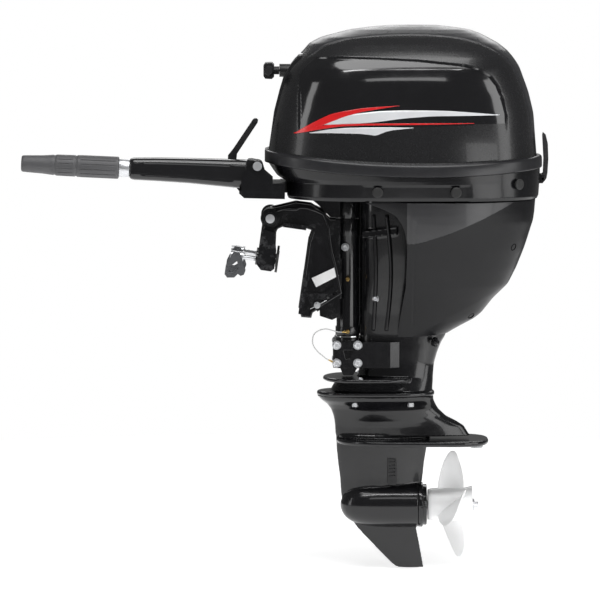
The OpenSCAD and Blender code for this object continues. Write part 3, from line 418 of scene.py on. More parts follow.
def catmull_closed(pts, per):
    p = np.array(pts, float)
    out = []
    n = len(p)
    for i in range(n):
        a, b, c, d = p[i - 1], p[i], p[(i + 1) % n], p[(i + 2) % n]
        for t in np.linspace(0, 1, per, endpoint=False):
            out.append(catmull(a, b, c, d, t))
    return np.array(out)


def edge_rows(edge, low, high, steps):
    """Rows of inset and height that round both edges of a plate or rod."""
    rows = []
    for q in np.linspace(0, math.pi / 2, steps):
        rows.append((edge * (1 - math.sin(q)), low + edge * (1 - math.cos(q))))
    for q in np.linspace(math.pi / 2, 0, steps):
        rows.append((edge * (1 - math.sin(q)), high - edge * (1 - math.cos(q))))
    return rows


def prism_z(pts, z0, z1, name, mat, edge=1.5, smooth=6):
    """Plate lying flat with rounded edges, outline smoothed through its points."""
    p = catmull_closed(pts, smooth) if smooth else np.array(pts, float)
    area = 0.5 * np.sum(p[:, 0] * np.roll(p[:, 1], -1) - np.roll(p[:, 0], -1) * p[:, 1])
    if area < 0:
        p = p[::-1]
    t = np.roll(p, -1, 0) - np.roll(p, 1, 0)
    t /= np.linalg.norm(t, axis=1)[:, None] + 1e-9
    nrm = np.stack([t[:, 1], -t[:, 0]], 1)
    rings = [np.concatenate([p - nrm * ins, np.full((len(p), 1), z)], 1)
             for ins, z in edge_rows(edge, z0, z1, 5)]
    return loft(np.array(rings), name, mat)


def prism_y(pts, y0, y1, name, mat, edge=1.0, smooth=0):
    """Plate standing in the side plane from rows of x, z."""
    ob = prism_z([(x, -z) for x, z in pts], y0, y1, name, mat, edge, smooth)
    stand = Matrix(((1, 0, 0, 0), (0, 0, 1, 0), (0, -1, 0, 0), (0, 0, 0, 1)))
    ob.data.transform(stand)
    return ob


def join(name, objs):
    main = objs[0]
    with bpy.context.temp_override(active_object=main, selected_editable_objects=objs,
                                   selected_objects=objs, object=main):
        bpy.ops.object.join()
    main.name = name
    main.data.name = name
    return main


def baked(ob):
    """Apply all modifiers of an object made here."""
    deps = bpy.context.evaluated_depsgraph_get()
    me = bpy.data.meshes.new_from_object(ob.evaluated_get(deps))
    old = ob.data
    ob.modifiers.clear()
    ob.data = me
    bpy.data.meshes.remove(old)
    return ob


def box(lo, hi, name="cutter"):
    """Plain box between two corners in mm."""
    v = [(x * MM, y * MM, z * MM) for x in (lo[0], hi[0]) for y in (lo[1], hi[1])
         for z in (lo[2], hi[2])]
    f = [(0, 1, 3, 2), (4, 6, 7, 5), (0, 4, 5, 1), (2, 3, 7, 6), (0, 2, 6, 4), (1, 5, 7, 3)]
    return make_mesh(name, v, f, "plastic", smooth=False)


def cut(ob, cutters, solver="EXACT"):
    """Take closed cutters out of an object, then delete them."""
    for c in cutters:
        m = ob.modifiers.new("cut", "BOOLEAN")
        m.operation = "DIFFERENCE"
        m.solver = solver
        m.object = c
    bpy.context.view_layer.update()
    baked(ob)
    for c in cutters:
        bpy.data.objects.remove(c)
    return ob


def rod(a, b, r, mat="plastic", edge=0.0):
    """Round bar between two points in mm with optional rounded ends."""
    a, b = Vector(a), Vector(b)
    length = (b - a).length
    rows = [(0.01, 0)]
    if edge:
        rows += [(r - ins, h) for ins, h in edge_rows(edge, 0, length, 4)]
    else:
        rows += [(r, 0), (r, length)]
    rows += [(0.01, length)]
    ob = lathe(rows, "rod", mat, facing(a, b - a), 48)
    shade(ob, 40)
    return ob


def smooth_path(pts, count):
    """Open curve through the points, resampled evenly between them."""
    p = np.array(pts, float)
    ext = np.concatenate([[2 * p[0] - p[1]], p, [2 * p[-1] - p[-2]]])
    out = []
    for s in np.linspace(0, len(p) - 1, count):
        i = min(int(s), len(p) - 2)
        t = s - i
        a, b, c, d = ext[i], ext[i + 1], ext[i + 2], ext[i + 3]
        out.append(catmull(a, b, c, d, t))
    return np.array(out)


def tube(path, radius, name, mat, cols):
    """Round tube swept along a path in mm."""
    p = np.array(path, float)
    t = np.gradient(p, axis=0)
    t /= np.linalg.norm(t, axis=1)[:, None]
    up = np.array((0.1, 1, 0.2))
    rings = []
    a = around(cols)
    for q, d in zip(p, t):
        u = np.cross(up, d)
        u /= np.linalg.norm(u)
        w = np.cross(d, u)
        rings.append(q + radius * (np.cos(a)[:, None] * u + np.sin(a)[:, None] * w))
    return loft(np.array(rings), name, mat)


# ---------- top cowl ----------

COWL = [
    [137.5, -85, 451, 176.5, 2.6, 24], [180, -81, 448, 176, 2.6, 12],
    [232, -73, 444.5, 174, 2.6, 0], [275, -62, 434, 171, 2.55, 0], [302, -54, 424, 166, 2.5, 0],
    [324, -43, 416, 158, 2.5, 0], [342, -26, 404, 146, 2.5, 0], [356, -13, 392, 131, 2.45, 0],
    [370, -1, 374, 113, 2.4, 0], [382, 22, 352, 92, 2.3, 0], [390, 52, 336, 72, 2.2, 0],
    [397, 80, 316, 50, 2.2, 0], [402, 118, 282, 31, 2.1, 0], [405.6, 160, 250, 14, 2, 0]
]
LIP = [
    [112.6, -84, 452, 177, 2.6, 24], [112, -90, 458, 181, 2.6, 24],
    [112.2, -92.6, 460.6, 183.6, 2.6, 24], [113.2, -93.7, 461.7, 184.7, 2.6, 24],
    [115, -94, 462, 185, 2.6, 24], [124, -94, 462, 185, 2.6, 24],
    [131, -93.8, 461.8, 184.8, 2.6, 24], [133.6, -93, 461, 184, 2.6, 24],
    [135.4, -91, 459, 182, 2.6, 24], [136.4, -88.6, 455.6, 179.4, 2.6, 24],
    [136.9, -86.4, 452.8, 177.8, 2.6, 24]
]
cowl_st = dense(COWL, 260, 3.0)
PANEL = np.array([
    (-24, 120), (-24, 200), (-25, 290), (-22, 334), (-6, 345), (56, 347.5), (133, 346),
    (210, 342), (305, 332), (332, 324), (355, 310), (370, 291), (381, 262), (387, 235),
    (388, 200), (388, 120),
], float)
RECESS = 3.4
SEAM_Z = 136.9
SEAM_SAG = 24
COWL_WALL = 4


def inside_distance(px, pz, poly):
    """Signed distance to a closed outline, positive inside."""
    n = len(poly)
    best = np.full(px.shape, 1e9)
    odd = np.zeros(px.shape, bool)
    for i in range(n):
        ax, az = poly[i]
        bx, bz = poly[(i + 1) % n]
        dx, dz = bx - ax, bz - az
        t = np.clip(((px - ax) * dx + (pz - az) * dz) / (dx * dx + dz * dz), 0, 1)
        best = np.minimum(best, np.hypot(px - ax - t * dx, pz - az - t * dz))
        cross = (az > pz) != (bz > pz)
        with np.errstate(divide="ignore", invalid="ignore"):
            hit = px < (bx - ax) * (pz - az) / (bz - az) + ax
        odd ^= cross & hit
    return np.where(odd, best, -best)


def recess_at(x, y, z):
    """Depth of the side panel below the cowl's outline."""
    side = ramp(80, 110, np.abs(y))
    fade = ramp(176, 262, z)
    return RECESS * ramp(0, 3.2, inside_distance(x, z, PANEL)) * side * fade


def ring_normals(rings):
    """Outward normals of closed rings."""
    du = np.roll(rings, -1, 1) - np.roll(rings, 1, 1)
    dv = np.gradient(rings, axis=0)
    n = np.cross(du, dv)
    return n / (np.linalg.norm(n, axis=2)[..., None] + 1e-9)


def cowl_side_y(x, z):
    """Half width of the finished cowl side at x, z."""
    zz = cowl_st[:, 0] + cowl_st[:, 5] * ((x - SEAM_MID_X) / SEAM_HALF_X) ** 2
    row = [np.interp(z, zz, cowl_st[:, c]) for c in range(1, 5)]
    u = abs(x - (row[0] + row[1]) / 2) / ((row[1] - row[0]) / 2)
    y = row[2] * (1 - min(u, 1) ** row[3]) ** (1 / row[3])
    return y - float(recess_at(np.array([x]), np.array([y]), np.array([z]))[0])


def color_cowl(ob):
    """Gloss in the panels, satin on the lip and spine, softer gloss on the flanks; the spine and
    flanks are also lighter copies of the cowl black, a painted highlight on the spine and painted
    reflection on the flanks.
    """
    me = ob.data
    me.materials.clear()
    for m in ("cowl", "lip", "spine", "flank"):
        me.materials.append(MAT[m])
    lip_slot, spine_slot, flank_slot = 1, 2, 3
    idx = np.zeros(len(me.polygons), int)
    cen = np.zeros(len(me.polygons) * 3)
    me.polygons.foreach_get("center", cen)
    cen = cen.reshape(-1, 3) / MM
    seam = SEAM_Z + SEAM_SAG * ((cen[:, 0] - SEAM_MID_X) / SEAM_HALF_X) ** 2
    idx[cen[:, 2] < seam + 0.6] = lip_slot
    panel = inside_distance(cen[:, 0], cen[:, 2], PANEL) > 1.2
    panel &= (np.abs(cen[:, 1]) > 95) & (cen[:, 2] > 203 + 0.035 * cen[:, 0])
    # The flank and spine slots carry lighter tones of the same black: painted reflection and
    # painted highlight where those facets catch the light.
    idx[(idx == 0) & ~panel] = flank_slot
    top = (np.abs(cen[:, 1]) < 75) & (cen[:, 2] > 182) & (cen[:, 0] > 0)
    idx[top & (cen[:, 2] > seam + 20)] = spine_slot
    me.polygons.foreach_set("material_index", idx)


def build_top_cowl():
    """Shell with sunk side panels, two roof channels and a rolled lower lip."""
    cols = 420
    body = plan_rings(cowl_st, cols)
    nrm = ring_normals(body)
    x, y, z = body[..., 0], body[..., 1], body[..., 2]
    depth = recess_at(x, y, z)
    channel = 1.9 * np.exp(-((np.abs(y) - 76) / 2.4) ** 2) * ramp(176, 184, z)
    channel *= ramp(-6, 6, x)
    depth = depth + channel
    body = body - nrm * depth[..., None]
    lip_rings = plan_rings(np.array(LIP, float), cols)
    inner = [[z0 - (COWL_WALL if z0 > 330 else 0), front + COWL_WALL, rear - COWL_WALL,
              half - COWL_WALL, square, sag] for z0, front, rear, half, square, sag in COWL[::-1]]
    inner.append([112.6, -80, 447, 172, 2.6, 24])
    inner_rings = plan_rings(np.array(inner, float), cols)
    ob = loft(np.concatenate([inner_rings, lip_rings, body]), "cowl_shell", "cowl")
    cut(ob, [box((-130, -52, 90), (30, 52, 350))])
    color_cowl(ob)
    shade(ob, 38)
    place(ob, "top_cowl", ["top_cowl"])


build_top_cowl()


# ---------- side graphics, generic stripes with no lettering ----------

def stripe(name, mat, rows, lift=0.35, count=90):
    """Thin graphic on the cowl side from rows of x, lower z, upper z."""
    r = np.array(rows, float)
    for side in (-1, 1):
        xs = np.linspace(r[0, 0], r[-1, 0], count)
        lo, hi = np.interp(xs, r[:, 0], r[:, 1]), np.interp(xs, r[:, 0], r[:, 2])
        k = np.ones(7) / 7
        lo = np.convolve(np.pad(lo, 3, "edge"), k, "valid")
        hi = np.convolve(np.pad(hi, 3, "edge"), k, "valid")
        verts, faces, across = [], [], 7
        for x, a, b in zip(xs, lo, hi):
            for t in np.linspace(0, 1, across):
                z = a + (b - a) * t
                verts.append((x * MM, side * (cowl_side_y(x, z) + lift) * MM, z * MM))
        faces = grid_faces(count, across, flip=side < 0)
        label = "port" if side < 0 else "starboard"
        ob = make_mesh("%s_%s" % (name, label), verts, faces, mat)
        s = ob.modifiers.new("skin", "SOLIDIFY")
        s.thickness = 0.25 * MM
        s.offset = 0
        place(ob, "top_cowl")


stripe("stripe_silver_blade", "silver", [
    (26, 214, 215), (50, 214.4, 224), (78, 215.5, 235), (133, 220.4, 241.4), (180, 227, 243),
    (236, 231.3, 242.6), (275, 231.8, 241.4), (335, 232, 236.6), (372, 232.3, 232.9)])
stripe("stripe_silver_fin", "silver", [
    (-1.4, 197, 198), (38, 198, 205.5), (70, 197.6, 208.6), (101, 197, 209.4),
    (122, 194.4, 209.7), (130, 192.8, 209.8), (138, 198, 209.9), (157, 203.8, 210),
    (202, 208.6, 209.3)])
stripe("stripe_red_blade", "red", [
    (-32, 195, 196), (-14, 198.5, 207), (0, 202.5, 215), (22, 212, 226.5), (40, 219.5, 235),
    (66, 230, 241), (101, 240, 247), (149, 248, 250.8), (174.5, 251.8, 252.2)], lift=0.6)
stripe("stripe_red_line", "red", [
    (-32, 194.8, 196), (0, 201, 206), (22, 205.5, 213), (60, 211.5, 215.6),
    (101, 213.5, 217), (196, 214.5, 217.8), (260, 215.5, 217.8), (321, 216.6, 217.6)],
       lift=0.85)


# ---------- tray under the cowl ----------

TUB = [
    [63, -44, 452, 168, 2.7, 0], [69, -47, 455, 172, 2.7, 0], [97, -48.5, 457, 176, 2.6, 0],
    [103, -66, 457.5, 177, 2.6, 6], [111.6, -84, 458, 178, 2.6, 24]
]
LUG = [(454, 91), (463, 91), (468, 97), (468, 104), (463, 109), (454, 109)]


def groove(x, at, width, depth):
    """Soft groove across x."""
    return depth * np.exp(-((x - at) / width) ** 2)


def build_tray():
    """Open tub with side grooves, a round boss in front and two lugs behind."""
    cols = 420
    st = dense(TUB, 64, 1.0)
    outer = plan_rings(st, cols)
    x, y, z = outer[..., 0], outer[..., 1], outer[..., 2]
    side = ramp(110, 140, np.abs(y))
    dip = (groove(x, 107, 1.3, 1.2) + groove(x, 312, 1.3, 1.0)) * side * ramp(98, 94, z)
    dip += 1.6 * ramp(312, 308, x) * ramp(107, 109, x) * side * ramp(97, 92, z)
    outer = outer - ring_normals(outer) * dip[..., None]
    wall = [[r[0] + (4 if i < 2 else 0 if i == 4 else 2), r[1] + 4, r[2] - 4, r[3] - 4, r[4],
             r[5]] for i, r in enumerate(TUB)][::-1]
    ob = loft(np.concatenate([outer, plan_rings(np.array(wall, float), cols)]),
              "tray_shell", "tray")
    cut(ob, [box((98, -66, 60), (298, 66, 72)), box((-60, -36, 60), (30, 36, 98))])
    parts = [ob, rod((-46, 90, 82), (-33, 90, 82), 15, mat="tray", edge=1.5)]
    for s in (-1, 1):
        parts.append(prism_y(LUG, 18 * s - 2, 18 * s + 2, "lug", "tray", edge=0.8))
    ob = join("tray_shell", parts)
    shade(ob, 35)
    place(ob, "motor", ["bottom_cowl"])


build_tray()


# ---------- side aprons ----------

APRON = [
    [-214, 174, 181, 277, 56], [-206, 174.5, 181.5, 290, 60], [-196, 175.5, 182, 308, 65],
    [-184, 177, 184, 331, 71], [-171, 179, 186, 346, 78], [-140, 184, 191, 367, 94],
    [-110, 189, 196, 395, 110], [-76, 190, 197, 412, 126], [-38, 191, 198, 427, 142],
    [-20, 190, 197, 433, 148], [3, 186, 194, 440, 155], [18, 180, 192, 445, 159],
    [36, 168, 190, 447.5, 163], [50, 140, 190, 448.5, 165], [61, 108, 190, 449.5, 166]
]


CREASE_FRONT_X = 190.5
APRON_SCREWS = [(403, -33), (321, -172)]


def apron_grid():
    """Points, normals and height above the crease of the starboard apron."""
    st = dense(APRON, 210, 2.4)
    a = np.radians(np.linspace(0, 90, 190))
    t = np.linspace(0.05, 1, 22)
    rows = []
    for z, xf, xc, xr, w in st:
        x = np.concatenate([xc + (xr - xc) * spow(np.cos(a), 0.87), xc + (xf - xc) * t])
        y = np.concatenate([0.3 + (w - 0.3) * spow(np.sin(a), 0.87), w - 1.5 * t ** 2])
        rows.append(np.stack([x, y, np.full(x.shape, z)], 1))
    g = np.array(rows)
    n = np.cross(np.gradient(g, axis=1), np.gradient(g, axis=0))
    n /= np.linalg.norm(n, axis=2)[..., None] + 1e-9
    x, y, z = g[..., 0], g[..., 1], g[..., 2]
    u = np.clip((x - 193) / 238, 0, 1.1)
    above = (z - (-20 + 96 * u ** 1.35)) * 0.92
    ridge = np.where(above > 0, 1 - above / 90, np.exp(above / 46))
    lift = 10.0 * np.clip(ridge, 0, 1) * ramp(14, 60, y)
    lift *= ramp(186, 204, x) * (1 - 0.7 * ramp(300, 430, x))
    below = (-221 + 0.53 * (x - 184) - z) * 0.88
    lift -= 0.15 * np.log1p(np.exp(np.clip(below / 1.2, -30, 30))) * 1.2
    lift -= 1.4 * np.exp(-((x - 205) / 1.8) ** 2) * ramp(-196, -180, z) \
        * ramp(30, 10, z)
    return g + n * lift[..., None], n, above


apron_pts, apron_nrm, apron_above = apron_grid()


def build_apron(side):
    """One apron, with a painted highlight of lighter grey above its crease, and its two screws."""
    g = apron_pts.copy()
    g[..., 1] *= side
    rows, cols = g.shape[0], g.shape[1]
    label = "starboard" if side > 0 else "port"
    ob = make_mesh("apron_%s_shell" % label, (g * MM).reshape(-1, 3),
                   grid_faces(rows, cols, flip=side < 0), "apron")
    ob.data.materials.append(MAT["apron_painted_highlight"])
    # Faces above the crease take the lighter material, a painted highlight; the apron is one black
    # moulding throughout.
    upper = (apron_above[:-1, :-1] > 0) & (apron_pts[:-1, :-1, 0] > CREASE_FRONT_X)
    ob.data.polygons.foreach_set("material_index", upper.ravel().astype(np.int32))
    s = ob.modifiers.new("wall", "SOLIDIFY")
    s.thickness = 3.6 * MM
    s.offset = -1
    place(ob, "motor", ["apron_" + label])
    for k, (sx, sz) in enumerate(APRON_SCREWS):
        d = (apron_pts[..., 0] - sx) ** 2 + (apron_pts[..., 2] - sz) ** 2
        d = np.where(apron_pts[..., 1] < 20, 1e9, d)
        i = np.unravel_index(np.argmin(d), d.shape)
        p, n = Vector(apron_pts[i]), Vector(apron_nrm[i])
        p.y *= side
        n.y *= side
        # The screw caps take the near-black recess material, painted shade in the screw holes.
        cap = lathe([(0.01, -3.4), (7.4, -3.4), (7.4, 0.1), (6.9, 0.6), (6.2, 0.7), (5.8, 0.1),
                     (5.2, -2.2), (0.01, -2.6)], "apron_screw_%s_%d" % (label, k + 1),
                    "recess", facing(p, n), 48)
        shade(cap, 40)
        place(cap, "motor")


build_apron(1)
build_apron(-1)


# ---------- leg and gearcase, cast in one skin each ----------

def cast(name, parts, voxel=1.6, passes=8, keep=0.45):
    """Union of closed parts with the small fillets of a casting."""
    ob = join(name, parts)
    r = ob.modifiers.new("union", "REMESH")
    r.mode = "VOXEL"
    r.voxel_size = voxel * MM
    s = ob.modifiers.new("fillet", "SMOOTH")
    s.factor = 0.5
    s.iterations = passes
    d = ob.modifiers.new("light", "DECIMATE")
    d.ratio = keep
    bpy.context.view_layer.update()
    baked(ob)
    ob.data.polygons.foreach_set("use_smooth", [True] * len(ob.data.polygons))
    return ob


LEG = [
    [72, 101, 292, 62, 3], [40, 101, 288, 60, 3], [-20, 101, 284, 54, 2.8],
    [-100, 101, 279, 46, 2.6], [-170, 100.5, 273, 38, 2.5], [-214, 100, 271, 35, 2.4],
    [-228, 100, 262, 35, 2.4], [-249, 100, 254, 35, 2.4], [-270, 100, 248, 35, 2.4],
    [-296, 96, 246, 38, 2.4], [-304, 52, 246, 44, 2.4], [-318, 44, 245, 50, 2.4],
    [-326, 40, 245, 54, 2.4]
]
SPLASH = [
    (26, 0), (30, -30), (42, -56), (62, -74), (90, -82), (150, -82), (180, -72), (198, -52),
    (203, 0)
]
FLANGE = [
    (14, 0), (20, -26), (36, -44), (60, -56), (100, -60), (180, -60), (220, -50), (240, -34),
    (248, -16)
]
PLATE = [
    (54, 0), (58, -22), (70, -44), (96, -66), (130, -78), (220, -82), (300, -78), (330, -68),
    (348, -50), (356, -24), (357, 0)
]
STRAKE = [(338, 20), (342, 28), (300, 40), (180, 36), (180, 30), (300, 30)]
NECK = [
    [-334, 14, 247, 60, 2.3], [-343, 22, 247, 56, 2.3], [-352, 34, 251, 46, 2.2],
    [-362, 42, 257, 38, 2.1], [-376, 47, 272, 33, 2], [-386, 49, 292, 30, 1.9],
    [-396, 50, 308, 29, 1.8], [-412, 51, 318, 29, 1.8], [-417, 52, 322, 29, 1.8]
]
STRUT = [
    [-414, 52, 240, 29, 1.7], [-440, 53, 234, 27, 1.7], [-470, 56, 229, 25, 1.7],
    [-500, 60, 226, 24, 1.7], [-530, 62, 222, 24, 1.7], [-560, 66, 214, 22, 1.7]
]
SKEG = [
    [-576, 76, 207, 6.5, 2], [-590, 86, 210, 5.6, 2], [-604, 96, 214, 4.8, 2],
    [-640, 130, 221, 4, 2], [-673, 162, 227, 3, 2], [-682, 173, 228.5, 2.2, 2],
    [-684, 184, 227, 1.4, 2]
]
PROP_Z = -556
NOSE = [
    (0.01, 0), (6, 0.7), (10, 2), (15, 4), (20, 7), (25, 11), (29, 16), (33, 22), (36, 29),
    (39, 37.5), (41, 46), (43, 58), (44, 70), (44.8, 85), (45, 100), (45, 154), (44.4, 156),
    (0.01, 156)
]


def both_sides(half):
    """Whole outline from the port half of one that is alike on both sides."""
    return half + [(x, -y) for x, y in half[:0:-1] if y]


def column(table, count, width):
    """Upright loft from rows of z, front x, rear x, half width, squareness."""
    st = dense([r + [0] for r in table], count, width)[::-1]
    return loft(plan_rings(st, 160), "part", "paint")


def leg_half(x, z):
    """Half width of the leg at x, z."""
    st = np.array(LEG[::-1], float)
    front, rear, half, n = (np.interp(z, st[:, 0], st[:, k]) for k in (1, 2, 3, 4))
    u = min(abs(x - (front + rear) / 2) / ((rear - front) / 2), 1)
    return half * (1 - u ** n) ** (1 / n)


def build_leg():
    """Leg casting with its mount bosses and side pads, bored for two shafts."""
    parts = [column(LEG, 240, 1.6),
             prism_z(both_sides(SPLASH), -303.4, -296, "part", "paint", 2.5, 5),
             prism_z(both_sides(FLANGE), -334, -325, "part", "paint", 2.5, 5)]
    for s in (-1, 1):
        parts.append(rod((250, 24 * s, -226), (250, 46 * s, -226), 8, edge=1))
        parts.append(rod((250, 45 * s, -226), (250, 56 * s, -226), 4.5, edge=1))
    for s in (-1, 1):
        parts.append(prism_y([(104, -2), (172, 6), (172, -8), (104, -16)], 40 * s, 56 * s,
                             "part", "paint", 1.5))
    ob = cast("leg_casting", parts, voxel=1.45, passes=10, keep=0.4)
    bores = [rod((178, -18, -345), (178, -18, 90), 6.3),
             rod((136, 0, -345), (136, 0, 90), 13)]
    place(cut(ob, bores, "MANIFOLD"), "motor", ["exhaust_housing"])


RIB_RADIUS = 4.2
RIB_TOP_Z = 30
RIB_DROP = 232
RIBS = ((126, 5), (152, 9))


def build_leg_ribs():
    """Two bowed ribs on each side of the leg, from rows of x and bow."""
    ribs = []
    for s in (-1, 1):
        for x0, bow in RIBS:
            path = []
            for q in np.linspace(0, 1, 60):
                x, z = x0 + bow * math.sin(q * math.pi), RIB_TOP_Z - RIB_DROP * q
                path.append((x, s * (leg_half(x, z) + 0.4), z))
            ribs.append(tube(path, RIB_RADIUS, "part", "leg", 32))
    place(join("leg_ribs", ribs), "motor")


def build_leg_web():
    """Stepped front face of the leg, which closes the gap beside the swivel tube."""
    web = join("leg_front_web", [box((97.7, -11, -193), (112, 11, -17)),
                                 box((99.7, -11, -213), (112, 11, 57)),
                                 box((94.8, 12, -193), (101, 14, -17)),
                                 box((97.2, 12, -213), (101, 14, 57)),
                                 box((99.5, 9, -213), (104, 14, 57))])
    web.data.materials.clear()
    web.data.materials.append(MAT["leg"])
    bevel(web, 0.6)
    place(web, "motor")


def build_gearcase():
    """Neck, anti-ventilation plate, strut, torpedo, strakes and skeg in one casting."""
    torpedo = lathe(NOSE, "part", "paint", frame_x(61, 0, PROP_Z), 128)
    parts = [column(NECK, 120, 1.6), column(STRUT, 120, 1.6), column(SKEG, 120, 1.6), torpedo,
             prism_z(both_sides(PLATE), -431, -421, "part", "paint", 3, 5)]
    for s in (-1, 1):
        parts.append(prism_z([(x, y * s) for x, y in STRAKE], -436, -430,
                             "part", "paint", 1.5, 3))
    ob = cast("gearcase_casting", parts, voxel=1.5, passes=7)
    place(ob, "motor", ["gearcase"])


build_leg()
build_leg_ribs()
build_leg_web()
build_gearcase()


# ---------- propeller ----------

BLADE = [
    [26, 30, 52, 5], [40, 35, 46, 4.6], [56, 40, 39, 4], [72, 43, 33, 3.4], [88, 43, 28, 2.9],
    [102, 37, 24, 2.4], [112, 25, 21, 1.8], [118, 9, 20, 1.2]
]
PROP_X = 280
BLADE_ROOT, BLADE_TIP, TIP_ZONE = 26, 118, 14
RAKE = 0.16
SWEEP_DEGREES = 10


def blade_rings(turn):
    """Rings of one blade from its rows of radius, half chord, pitch and half thickness."""
    st = np.array(BLADE, float)
    r = np.concatenate([np.linspace(BLADE_ROOT, BLADE_TIP - TIP_ZONE, 44),
                        BLADE_TIP - TIP_ZONE * np.linspace(1, 0, 26)[1:] ** 2])
    cols = [soften(np.interp(r, st[:, 0], st[:, k])[:, None], 1.6)[:, 0] for k in (1, 2, 3)]
    q = around(72)
    rings = []
    for rad, c, pitch, t in zip(r, *cols):
        p = math.radians(pitch)
        u, v = c * np.cos(q), -t * np.sin(q)
        out = rad - BLADE_ROOT
        arc = (u * math.cos(p) - v * math.sin(p)) / rad
        arc = arc + math.radians(SWEEP_DEGREES * out / (BLADE_TIP - BLADE_ROOT))
        x = PROP_X + u * math.sin(p) + v * math.cos(p) + RAKE * out
        arc = arc + turn
        rings.append(np.stack([x, rad * np.sin(arc), PROP_Z + rad * np.cos(arc)], 1))
    return np.array(rings)


def build_propeller():
    """Hub with three blades and three ribs inside its open end."""
    hub = [(0.01, 0), (29, 0), (30.4, 0.6), (31, 2), (32, 5), (33, 9), (33, 60), (33.3, 67),
           (34, 74), (35.6, 81.5), (37.4, 88), (37.6, 88.8), (37, 89.2), (34, 88),
           (31.4, 84), (30.4, 78), (30, 62), (17.4, 61), (17, 62), (17, 79.4), (16, 80.3),
           (0.01, 80.3)]
    parts = [lathe(hub, "part", "prop", frame_x(236, 0, PROP_Z), 128)]
    shade(parts[0], 50)
    for k in range(3):
        turn = -math.radians(120 * k - 26)
        parts.append(loft(blade_rings(turn), "part", "prop"))
        rib = box((297, -2.6, 15), (322, 2.6, 33), "part")
        rib.data.transform(Matrix.Translation((0, 0, PROP_Z * MM))
                           @ Matrix.Rotation(-turn, 4, "X"))
        rib.data.materials[0] = MAT["prop"]
        parts.append(rib)
    place(join("propeller_moulding", parts), "propeller", ["propeller"])


build_propeller()


# ---------- tiller arm and throttle grip ----------

ARM = [
    [-357.5, 110, 137, 13], [-356.6, 106, 141, 17], [-354, 103, 144, 20.5],
    [-348, 101.6, 145.2, 22], [-300, 99, 145.5, 23], [-240, 95, 144.5, 24], [-180, 89, 143, 25],
    [-150, 86, 142, 25], [-128, 84.6, 141.4, 25], [-122.6, 85, 140.4, 24.4],
    [-120.4, 87, 138, 22.6], [-119.6, 92, 133, 18]
]


def build_arm():
    """Rounded-square arm with sunk sides and its pivot knuckle."""
    st = np.array(ARM, float)
    x = np.concatenate([np.linspace(-357.5, -346, 16), np.linspace(-345, -130, 70),
                        np.linspace(-129, -119.6, 12)])
    cols = [np.interp(x, st[:, 0], st[:, k]) for k in (1, 2, 3)]
    a = around(144)
    rings = []
    for xx, lo, hi, w in zip(x, *cols):
        y = -75 + w * spow(np.cos(a), 0.6)
        z = (lo + hi) / 2 + (hi - lo) / 2 * spow(np.sin(a), 0.6)
        hollow = 1.6 * ramp(-336, -326, xx) * ramp(-150, -160, xx)
        sunk = hollow * ramp(0.62, 0.45, np.abs((z - (lo + hi) / 2) / (hi - lo) * 2))
        y = y - np.sign(np.cos(a)) * sunk
        rings.append(np.stack([np.full(a.shape, xx), y, z], 1))
    arm = loft(np.array(rings), "part", "arm")
    knuckle = prism_y([(-126, 92), (-126, 139), (-104, 141), (-96.2, 137.8), (-93, 130),
                       (-96.2, 122.2), (-104, 119), (-116, 89)], -100.4, -49.6, "part",
                      "arm", edge=2.0, smooth=4)
    ob = join("tiller_casting", [arm, knuckle])
    shade(ob, 45)
    place(ob, "tiller", ["tiller_arm"])


def grip_matrix():
    return Matrix.Translation(Vector((-378, -75, 125)) * MM) @ \
        Matrix.Rotation(math.radians(-87.4), 4, "Y")


def flutes(a, h, r):
    """Narrow lengthwise grooves round the two thick rubber sections of the grip."""
    if r < 14.5:
        return 0.0 * a
    on = ramp(5, 8, h) * ramp(78, 74, h) + ramp(90, 92.5, h) * \
        ramp(123, 120, h)
    return 1.2 * on * np.exp(-(np.sin(a * 7) / 0.2) ** 2)


def build_grip():
    outer = [(13.1, 0.4), (20.4, 0.4), (21.4, 1.2), (22, 3), (22, 60), (21.9, 74), (21.6, 82),
             (20.6, 83), (20.3, 84.5), (20.5, 86), (21.4, 87), (21.3, 90), (21, 122),
             (20.8, 124), (19.6, 125.4), (19.3, 126.8), (19.6, 128), (20.1, 129.5),
             (20, 132), (18.2, 150), (17.1, 176), (16.5, 188), (16, 190.6), (14.6, 192.6),
             (12.6, 193.2), (0.01, 193.2)]
    prof = [(0.01, 187), (13.1, 187)]
    for (r0, h0), (r1, h1) in zip(outer, outer[1:]):
        n = max(1, int((h1 - h0) / 2))
        prof += [(r0 + (r1 - r0) * k / n, h0 + (h1 - h0) * k / n) for k in range(n)]
    prof.append(outer[-1])
    ob = lathe(prof, "grip_rubber", "grip", grip_matrix(), 360, flutes)
    shade(ob, 50)
    place(ob, "throttle", ["throttle_grip"])


build_arm()
build_grip()


# ---------- starter rope ----------

def rope_twist(count=300):
    """Starter rope: three strands twisted round each other between pulley and handle."""
    s = np.linspace(-84, 98, count)
    strands = []
    for k in range(3):
        a = s * 0.52 + k * 2 * math.pi / 3
        path = np.stack([s, 1.1 * np.cos(a), 315 + 1.1 * np.sin(a)], 1)
        strands.append(tube(path, 1.35, "part", "rope", 12))
    return join("starter_rope", strands)


rope = rope_twist()
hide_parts("recoil_rope")
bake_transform(rope)


# ---------- bonding lead ----------

LEAD = [
    (71, -37, -205), (55, -42, -204), (30, -46, -198), (10, -48, -206), (5, -50, -224),
    (13, -53, -240), (32, -56, -256), (44, -58, -262)
]


def build_lead():
    path = smooth_path(LEAD, 90)
    ob = tube(path, 1.1, "bonding_lead_wire", "lead", 20)
    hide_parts("bonding_lead")
    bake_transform(ob)
    for body, centre, way in (("swivel", path[0], path[1] - path[0]),
                              ("motor", path[-1], path[-2] - path[-1])):
        eye = lathe([(0.01, -1.2), (1.5, -1.2), (1.9, -0.8), (1.9, 4.6), (1.6, 5), (1.5, 7.4),
                     (1.3, 8), (0.01, 8)], "lead_terminal_" + body, "brass",
                    facing(centre, way), 32)
        shade(eye, 40)
        place(eye, body)


build_lead()


# ---------- small fastenings ----------

